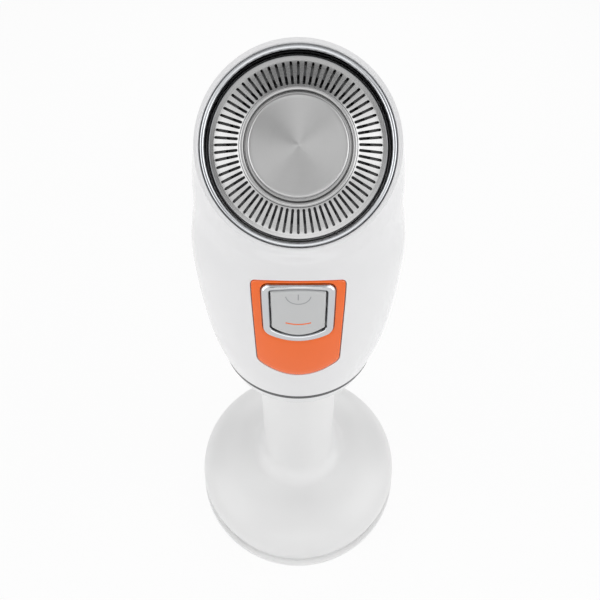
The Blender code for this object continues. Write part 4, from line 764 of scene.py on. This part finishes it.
# %% Screws of the housing
# Pan heads with a cross recess, at the bottom of their wells.
SHANK, HEAD_HEIGHT, HEAD_ROUND, RECESS = 1.4 * mm, 1.8 * mm, 0.9 * mm, (1.5 * mm, 0.33 * mm)
for number, (x, z, end, tip) in enumerate(SCREWS, 1):
    head = [(0, tip), (1.1 * mm, tip)]
    head += bow((2.6 * mm - HEAD_ROUND, tip - HEAD_ROUND), (HEAD_ROUND, HEAD_ROUND), 90, 0, 6)
    head += [(2.6 * mm, tip - HEAD_HEIGHT), (SHANK, tip - HEAD_HEIGHT), (SHANK, end + mm), (0, end)]
    arms = [brick((-a, -b, tip - 0.9 * mm), (a, b, tip + mm)) for a, b in (RECESS, RECESS[::-1])]
    screw = facing_back(carved(turned(head, 48), "DIFFERENCE", *arms), x, z)
    dress(f"cross_head_screw_{number}", screw, ZINC_STEEL, f"housing_screw_{number}")

# %% [markdown]
# ## The steam head
#
# Inside the white rim sits a chromed bezel, then a dark joint, then the plate: a shallow pressed
# cone of stainless steel with seventy steam slots, a rolled bead and, in the middle, a raised
# disc. All are turned in the head's own frame, so that the grooves of the spun steel run round
# its axis. Heights there are measured from the rim. The slots are one cutter, and a small bevel
# gives their edges the line of light that pressed metal shows.

# %% Bezel and joint
BEZEL_OUT = ring_high.x
BEZEL_IN = BEZEL_OUT - 1.4 * mm
BEZEL_LOW = -5.5 * mm
bezel = bow(((BEZEL_IN + BEZEL_OUT) / 2, -0.95 * mm), (0.7 * mm, 0.65 * mm), 180, 0, 14)
bezel += [(BEZEL_OUT, BEZEL_LOW), (BEZEL_IN, BEZEL_LOW)]
dress("chrome_bezel", turned(bezel, FACETS, wrap=True), CHROME, "bezel_ring", place=HEAD)

PLATE = 28.3 * mm
JOINT_TOP = -3.8 * mm
joint = [(PLATE + GAP, JOINT_TOP - GAP), (PLATE + 2 * GAP, JOINT_TOP), (BEZEL_IN - 2 * GAP, JOINT_TOP)]
joint += [(BEZEL_IN - GAP, JOINT_TOP - GAP), (BEZEL_IN - GAP, BEZEL_LOW), (PLATE + GAP, BEZEL_LOW)]
dress("joint_ring", turned(joint, 160, wrap=True), RUBBER, "plate_gasket", place=HEAD)

# %% Profile of the plate
SLOTS = 70
SLOT_OUT, SLOT_IN, SLOT_WIDE = 26.5 * mm, 18.8 * mm, 0.85 * mm
BAND_OUT, BAND_IN, FLOOR = -2.6 * mm, -0.1 * mm, -0.2 * mm
SHEET = 0.9 * mm
STUD_HOLE = 3.3 * mm
BEAD = (17.6 * mm, 0.9 * mm)  # its radius from the axis and its own
PLATE_ROUND = 0.5 * mm
SKIRT = -9 * mm
plate = [(STUD_HOLE, FLOOR), (16.4 * mm, FLOOR)]
plate += bow((BEAD[0], BAND_IN), (BEAD[1], BEAD[1]), 170, 10, 12)
plate += [(SLOT_IN - 0.05 * mm, BAND_IN - 0.02 * mm)]
for k in range(1, 7):
    plate += [(SLOT_IN + (SLOT_OUT - SLOT_IN) * k / 6, BAND_IN + (BAND_OUT - BAND_IN) * k / 6)]
plate += [(SLOT_OUT + 0.4 * mm, BAND_OUT - 0.06 * mm)]
plate += bow((PLATE - PLATE_ROUND, BAND_OUT - 0.6 * mm), (PLATE_ROUND, PLATE_ROUND), 84, 0, 6)
plate += [(PLATE, SKIRT), (PLATE - SHEET, SKIRT), (PLATE - SHEET, BAND_OUT - 1.2 * mm)]
plate += [(SLOT_OUT, BAND_OUT - SHEET), (SLOT_IN - GAP, BAND_IN - SHEET), (STUD_HOLE, FLOOR - SHEET)]
print("plate's profile has", len(plate), "corners")

# %% Slotted plate
half = SLOT_WIDE / 2
slot = bow((SLOT_OUT - half, 0), (half, half), -90, 90, 8)
slot += bow((SLOT_IN + half, 0), (half, half), 90, 270, 8)
cutter = bmesh.new()
for i in range(SLOTS):
    turn = Matrix.Rotation(math.tau * (i + 0.5) / SLOTS, 2)
    spots = [turn @ spot for spot in slot]
    top, low = ([cutter.verts.new((*spot, z)) for spot in spots] for z in (3 * mm, -8 * mm))
    cutter.faces.new(top)
    cutter.faces.new(low[::-1])
    for k in range(len(spots)):
        cutter.faces.new((top[k - 1], low[k - 1], low[k], top[k]))
slotted = carved(turned(plate, 4 * SLOTS, wrap=True), "DIFFERENCE", finished(cutter))
slotted_plate = dress("slotted_steam_plate", slotted, SPUN_PLATE, "steam_plate", place=HEAD)
edge = slotted_plate.modifiers.new("slot_edges", "BEVEL")
edge.width = 0.15 * mm
edge.segments = 2
edge.limit_method = "ANGLE"
edge.angle_limit = math.radians(50)

# %% Raised centre disc
# A very shallow cone, so that each side of it mirrors its own part of the room.
DISC = 15.7 * mm
DISC_ROUND = 0.8 * mm
LEVEL = 2.3 * mm
STUD = (3 * mm, -6.9 * mm)  # its radius and its lower end
disc = [(0, LEVEL + 0.5 * mm), (1.5 * mm, LEVEL + 0.44 * mm), (DISC - 1.6 * mm, LEVEL - 0.45 * mm)]
disc += bow((DISC - DISC_ROUND, LEVEL - 1.2 * mm), (DISC_ROUND, DISC_ROUND), 84, 0, 10)
disc += [(DISC, 0.1 * mm), (STUD[0], 0.1 * mm), STUD, (0, STUD[1])]
dress("spun_centre_disc", turned(disc, FACETS), SPUN_DISC, "centre_disc", place=HEAD)

# %% [markdown]
# ## The orange panel and its switch
#
# The panel, the chrome frame and the rocker follow the housing's curve, so each outline is laid on
# the housing's front and lifted by its own height. The outlines keep the same number of points, so
# that they can be joined ring by ring: the panel from its rim to its window, the frame as a swept
# moulding, the rocker from its skirt to its middle.

# %% Orange panel
rim = [(0, -1.2), (0, -0.25), (-0.08, -0.07)]  # (grow, lift) in mm
window = [(0.32, -0.1), (0.3, -0.3), (0.3, -1.2)]
panel = [laid(shield(*FASCIA, grow * mm), lift * mm) for grow, lift in rim]
sheet = between(shield(*FASCIA, -0.25 * mm), shield(*FRAME, 0.5 * mm), 10)
panel += [laid(line, 0) for line in sheet]
panel += [laid(shield(*FRAME, grow * mm), lift * mm) for grow, lift in window]
dress("orange_panel", skinned(panel, wrap=True), ORANGE, "fascia")

# %% Chrome frame
# The moulding goes from its outer outline, share 0, to the window, share 1. Its heights are in mm.
moulding = [(0, -1.2), (0, 0.2), (0.05, 0.55), (0.16, 0.82), (0.32, 0.95), (0.55, 0.95)]
moulding += [(0.78, 0.82), (0.92, 0.62), (0.99, 0.35), (1, 0), (1, -1.2)]
sweep = [laid(blended(shield(*FRAME), shield(*WINDOW), share), lift * mm) for share, lift in moulding]
dress("chrome_switch_frame", skinned(sweep, wrap=True), CHROME, "switch_frame")

# %% Rocker
# It turns on a pin behind it, so it is one piece from its face to its pivots. Its skirt tapers
# backwards, which gives it room to swing.
tilt = next(joint for joint in frame["joints"] if joint["name"] == "rocker_tilt")
pivot = Vector(tilt["pos_m"])
KNEE = pivot.z - 4.2 * mm
KNEE_SLOPE = 0.16
FACE = 0.5 * mm
PIN = 1.5 * mm
pin_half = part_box("rocker_button")[1].x


def face_lift(z, lift):
    """The face's height at z: flat above the knee and rising below it."""
    return lift + KNEE_SLOPE * max(0.0, KNEE - z)


def faced(outline, lift):
    """An outline laid at a lift that follows the rocker's face."""
    return [on_front(x, z, face_lift(z, lift)) for x, z in outline]


key = [[(x, pivot.y + 3 * mm, z) for x, z in rocker_line(-1.9 * mm)]]
key += [laid(rocker_line(-1.5 * mm), -4.5 * mm), laid(rocker_line(-0.2 * mm), -1.6 * mm)]
key += [faced(rocker_line(-inset * mm), lift * mm) for inset, lift in ((0, -0.1), (0.12, 0.2), (0.35, 0.41))]
key += [faced(line, FACE) for line in between(rocker_line(-0.7 * mm), shrunk(rocker_line()), 12)]
pin = turned([(PIN, pin_half), (PIN, -pin_half)], 32)
pin.transform(Matrix.Translation(pivot) @ Matrix.Rotation(math.pi / 2, 4, "Y"))
dress("rocker_key", carved(skinned(key), "UNION", pin), LIGHT_GREY, "rocker_button", body="rocker")

# %% [markdown]
# ## Marks on the rocker
#
# The rocker carries a pad-printed power sign above its middle and a slim orange lamp window below
# it. Ink stands a few hundredths of a millimetre proud, so both are thin pieces that follow the
# rocker's face and ride with it.


# %% Strokes on the rocker
def printed(strokes, width, lift):
    """Flat strokes of a width over lines of (x, z) points, laid on the rocker's face."""
    work = bmesh.new()
    for line in strokes:
        rails = []
        for i, here in enumerate(line):
            ahead = line[min(i + 1, len(line) - 1)] - line[max(i - 1, 0)]
            side = Vector((-ahead.y, ahead.x)).normalized() * width / 2
            rails.append([(here - side).to_tuple(), (here + side).to_tuple()])
        top = [[work.verts.new(spot) for spot in faced(pair, lift)] for pair in rails]
        low = [[work.verts.new(spot) for spot in faced(pair, FACE - 0.1 * mm)] for pair in rails]
        for k in range(len(line) - 1):
            work.faces.new((top[k][0], top[k][1], top[k + 1][1], top[k + 1][0]))
            work.faces.new((low[k][0], low[k + 1][0], low[k + 1][1], low[k][1]))
            for s in (0, 1):
                work.faces.new((top[k][s], top[k + 1][s], low[k + 1][s], low[k][s]))
        for k in (0, -1):
            work.faces.new((top[k][0], low[k][0], low[k][1], top[k][1]))
    return finished(work)


def mark(name, mesh, finish):
    """Shows a printed mark, which rides on the rocker."""
    thing = placed(name, mesh)
    mesh.materials.append(finish)
    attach(thing, "rocker")
    print(name, "has", len(mesh.polygons), "faces")


# %% Power sign
SIGN = Vector((0, 198.0 * mm))
INK = moulded("grey_pad_print", "#a3a5a8", "#9c9ea1", (0.3, 0.4), 0.3 * mm, 0.004 * mm, 1.5)
arc = bow(SIGN, (4.2 * mm, 3.2 * mm), 188, 352, 32)
stroke = [SIGN + Vector((0, z * mm)) for z in (-1.6, -0.8, 0, 0.5)]
mark("power_sign", printed([arc, stroke], 0.34 * mm, FACE + 0.03 * mm), INK)

# %% Lamp window
LAMP_Z = 185.5
LAMP = moulded("translucent_orange_acrylic", "#ff7a2e", "#fb6f22", (0.08, 0.12), 2 * mm, 0.004 * mm, 1.49)
across = (-4.4, -3.3, -2.2, -1.1, 0, 1.1, 2.2, 3.3, 4.4)
lamp = [Vector((x * mm, (LAMP_Z + 0.03 * x * x) * mm)) for x in across]
mark("lamp_window", printed([lamp], 0.5 * mm, FACE + 0.05 * mm), LAMP)

# %% [markdown]
# ## The water cap
#
# The cap screws into the filler behind the housing. A bar across it gives thumb and finger
# something to turn, and a seal sits under it. It is turned and then joined with the bar.

# %% Filler cap
CAP = (cap_high.x - cap_low.x) / 2
PLUG, PLUG_DEPTH = 8.7 * mm, 6 * mm
CAP_ROUND = 0.8 * mm
seat = cap_low.y + PLUG_DEPTH
top = seat + 2.4 * mm
shape = [(0, top - 0.35 * mm), (CAP - 2.6 * mm, top - 0.35 * mm), (CAP - 2.2 * mm, top)]
shape += bow((CAP - CAP_ROUND, top - CAP_ROUND), (CAP_ROUND, CAP_ROUND), 90, 0, 8)
shape += [(CAP, seat), (PLUG, seat), (PLUG, cap_low.y + 0.6 * mm), (PLUG - 0.6 * mm, cap_low.y)]
shape += [(0, cap_low.y)]
GRIP = (11.5, 2.5)  # half length and half width in mm
rows = []
for inset, height in ((0, -1.0), (0, 2.6), (0.12, 3.1), (0.4, 3.5), (0.8, 3.74), (1.3, 3.8)):
    x, y, ease = ((size - inset) * mm for size in (*GRIP, GRIP[1] - 0.05))
    around = eased([(-x, -y, ease), (x, -y, ease), (x, y, ease), (-x, y, ease)], 10)
    rows.append([(p.x, p.y, top + height * mm) for p in around])
lid = facing_back(carved(turned(shape, 160), "UNION", skinned(rows)), 0, CAP_Z)
dress("water_cap", lid, GLOSSY_WHITE, "filler_cap", body="cap")

# %% [markdown]
# ## The studio
#
# White on white needs even light and a few darker places for the gloss and the steel to show. The
# world is a pale room. Wide soft boxes stand left, right, ahead and behind, and grey cards hang
# out of view where the steel looks. The floor is white and keeps a soft shadow. Rays that come
# straight from the camera, or from a mirror, see the white ground.


# %% White for the rays that see it
def seen_directly(tree):
    """1 for rays from the camera, a mirror or clear plastic, and 0 for light that spreads."""
    rays = node(tree, "LightPath").outputs
    seen = node(tree, "Math", {0: rays["Is Camera Ray"], 1: rays["Is Glossy Ray"]}, operation="MAXIMUM")
    seen = node(tree, "Math", {0: seen.outputs[0], 1: rays["Is Transmission Ray"]}, operation="MAXIMUM")
    return seen.outputs[0]


# %% Floor
FLOOR_SIZE = 6.0
WHITE_SHARE = 0.92  # the rest of the floor's look is real paper, which keeps the shadow
work = bmesh.new()
bmesh.ops.create_grid(work, x_segments=1, y_segments=1, size=FLOOR_SIZE / 2)
floor = placed("studio_floor", finished(work))
floor.location.z = cad_low.z
floor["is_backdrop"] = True
paper = bpy.data.materials.new("white_paper_ground")
paper.use_nodes = True
tree = paper.node_tree
tree.nodes.clear()
share = node(tree, "Math", {0: seen_directly(tree), 1: WHITE_SHARE}, operation="MULTIPLY")
matt = node(tree, "BsdfDiffuse", {"Color": linear("#f7f7f7")})
white = node(tree, "Emission", {"Color": (1, 1, 1, 1), "Strength": 1.0})
both = node(tree, "MixShader", {0: share.outputs[0], 1: matt.outputs[0], 2: white.outputs[0]})
node(tree, "OutputMaterial", {"Surface": both.outputs[0]})
floor.data.materials.append(paper)
print("floor:", paper.name)

# %% World
WORLD_LEVEL = 0.53
world = bpy.data.worlds.new("pale_room")
bpy.context.scene.world = world
world.use_nodes = True
tree = world.node_tree
tree.nodes.clear()
level = node(tree, "MapRange", {0: seen_directly(tree), 1: 0.0, 2: 1.0, 3: WORLD_LEVEL, 4: 1.0})
sky = node(tree, "Background", {"Color": (1, 1, 1, 1), "Strength": level.outputs[0]})
node(tree, "OutputWorld", {"Surface": sky.outputs[0]})
print("world:", world.name)

# %% Soft boxes
TARGET = Vector((0, 0, 0.15))


def aimed(thing, place):
    """Puts a thing at a place and turns it to the object."""
    thing.location = place
    thing.rotation_euler = (TARGET - Vector(place)).to_track_quat("-Z", "Y").to_euler()


def soft_box(name, place, size, power):
    """A rectangular lamp, with its place and size in metres and its power in watts."""
    lamp = bpy.data.lights.new(name, "AREA")
    lamp.shape = "RECTANGLE"
    lamp.size, lamp.size_y = size
    lamp.energy = power
    aimed(placed(name, lamp), place)


soft_box("box_left", (-0.95, -0.3, 0.6), (1.0, 1.2), 4.6)
soft_box("box_right", (1.0, -0.25, 0.65), (1.0, 1.2), 5.2)
soft_box("box_ahead", (0, -1.2, 0.7), (1.2, 0.5), 1.5)
soft_box("box_behind", (0, 0.95, 0.6), (1.0, 0.5), 2.0)
print("soft boxes: 4")


# %% Grey cards
def card(name, place, size, finish):
    """A card out of view, which steel and gloss mirror as a darker patch."""
    work = bmesh.new()
    bmesh.ops.create_grid(work, x_segments=1, y_segments=1, size=0.5)
    sheet = finished(work)
    sheet.transform(Matrix.Diagonal((*size, 1, 1)))
    sheet.materials.append(finish)
    thing = placed(name, sheet)
    aimed(thing, place)
    thing.visible_camera = False
    thing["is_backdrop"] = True


CARD = moulded("grey_card", "#4a4a4a", "#444444", (0.7, 0.8), 2 * mm, 0.02 * mm, 1.5)
PALE_CARD = moulded("pale_grey_card", "#a0a0a0", "#9a9a9a", (0.7, 0.8), 2 * mm, 0.02 * mm, 1.5)
card("card_left", (-0.9, 0.5, 0.45), (0.7, 0.9), CARD)
card("card_right", (0.95, 0.55, 0.45), (0.7, 0.9), CARD)
card("card_above", (0, 0.18, 1.0), (0.9, 0.5), PALE_CARD)
card("card_high_left", (-0.38, -0.68, 0.9), (0.5, 0.42), CARD)
card("card_high_right", (0.36, -0.55, 0.98), (0.36, 0.36), PALE_CARD)
print("cards: 5")

# %% Camera
# It looks down at forty-six degrees from close by, which makes the head large and the foot small.
# The small shift sets the object a little left of the frame's middle.
LENS, SENSOR = 30, 36
PLACE = (0, -148.9 * mm, 315.0 * mm)
LOOK_DOWN = 46
SHIFT = 1.7 / 600  # a share of the frame's width
camera = placed("camera", bpy.data.cameras.new("camera"))
camera.data.lens = LENS
camera.data.sensor_width = SENSOR
camera.location = PLACE
camera.rotation_euler = (math.radians(90 - LOOK_DOWN), 0, 0)
camera.data.shift_x = SHIFT
camera.data.clip_start = 0.01
bpy.context.scene.camera = camera
bpy.context.scene.view_settings.view_transform = "Standard"
print("camera at", PLACE)

# %% [markdown]
# ## Measure and finish
#
# Both boxes, of the solids and of the dressed steamer, are printed side by side. The dressed
# steamer may not be larger than its solids.

# %% Measure
low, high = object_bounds()
print("solids mm", [round((b - a) / mm, 2) for a, b in zip(cad_low, cad_high)])
print("dressed mm", [round((b - a) / mm, 2) for a, b in zip(low, high)])
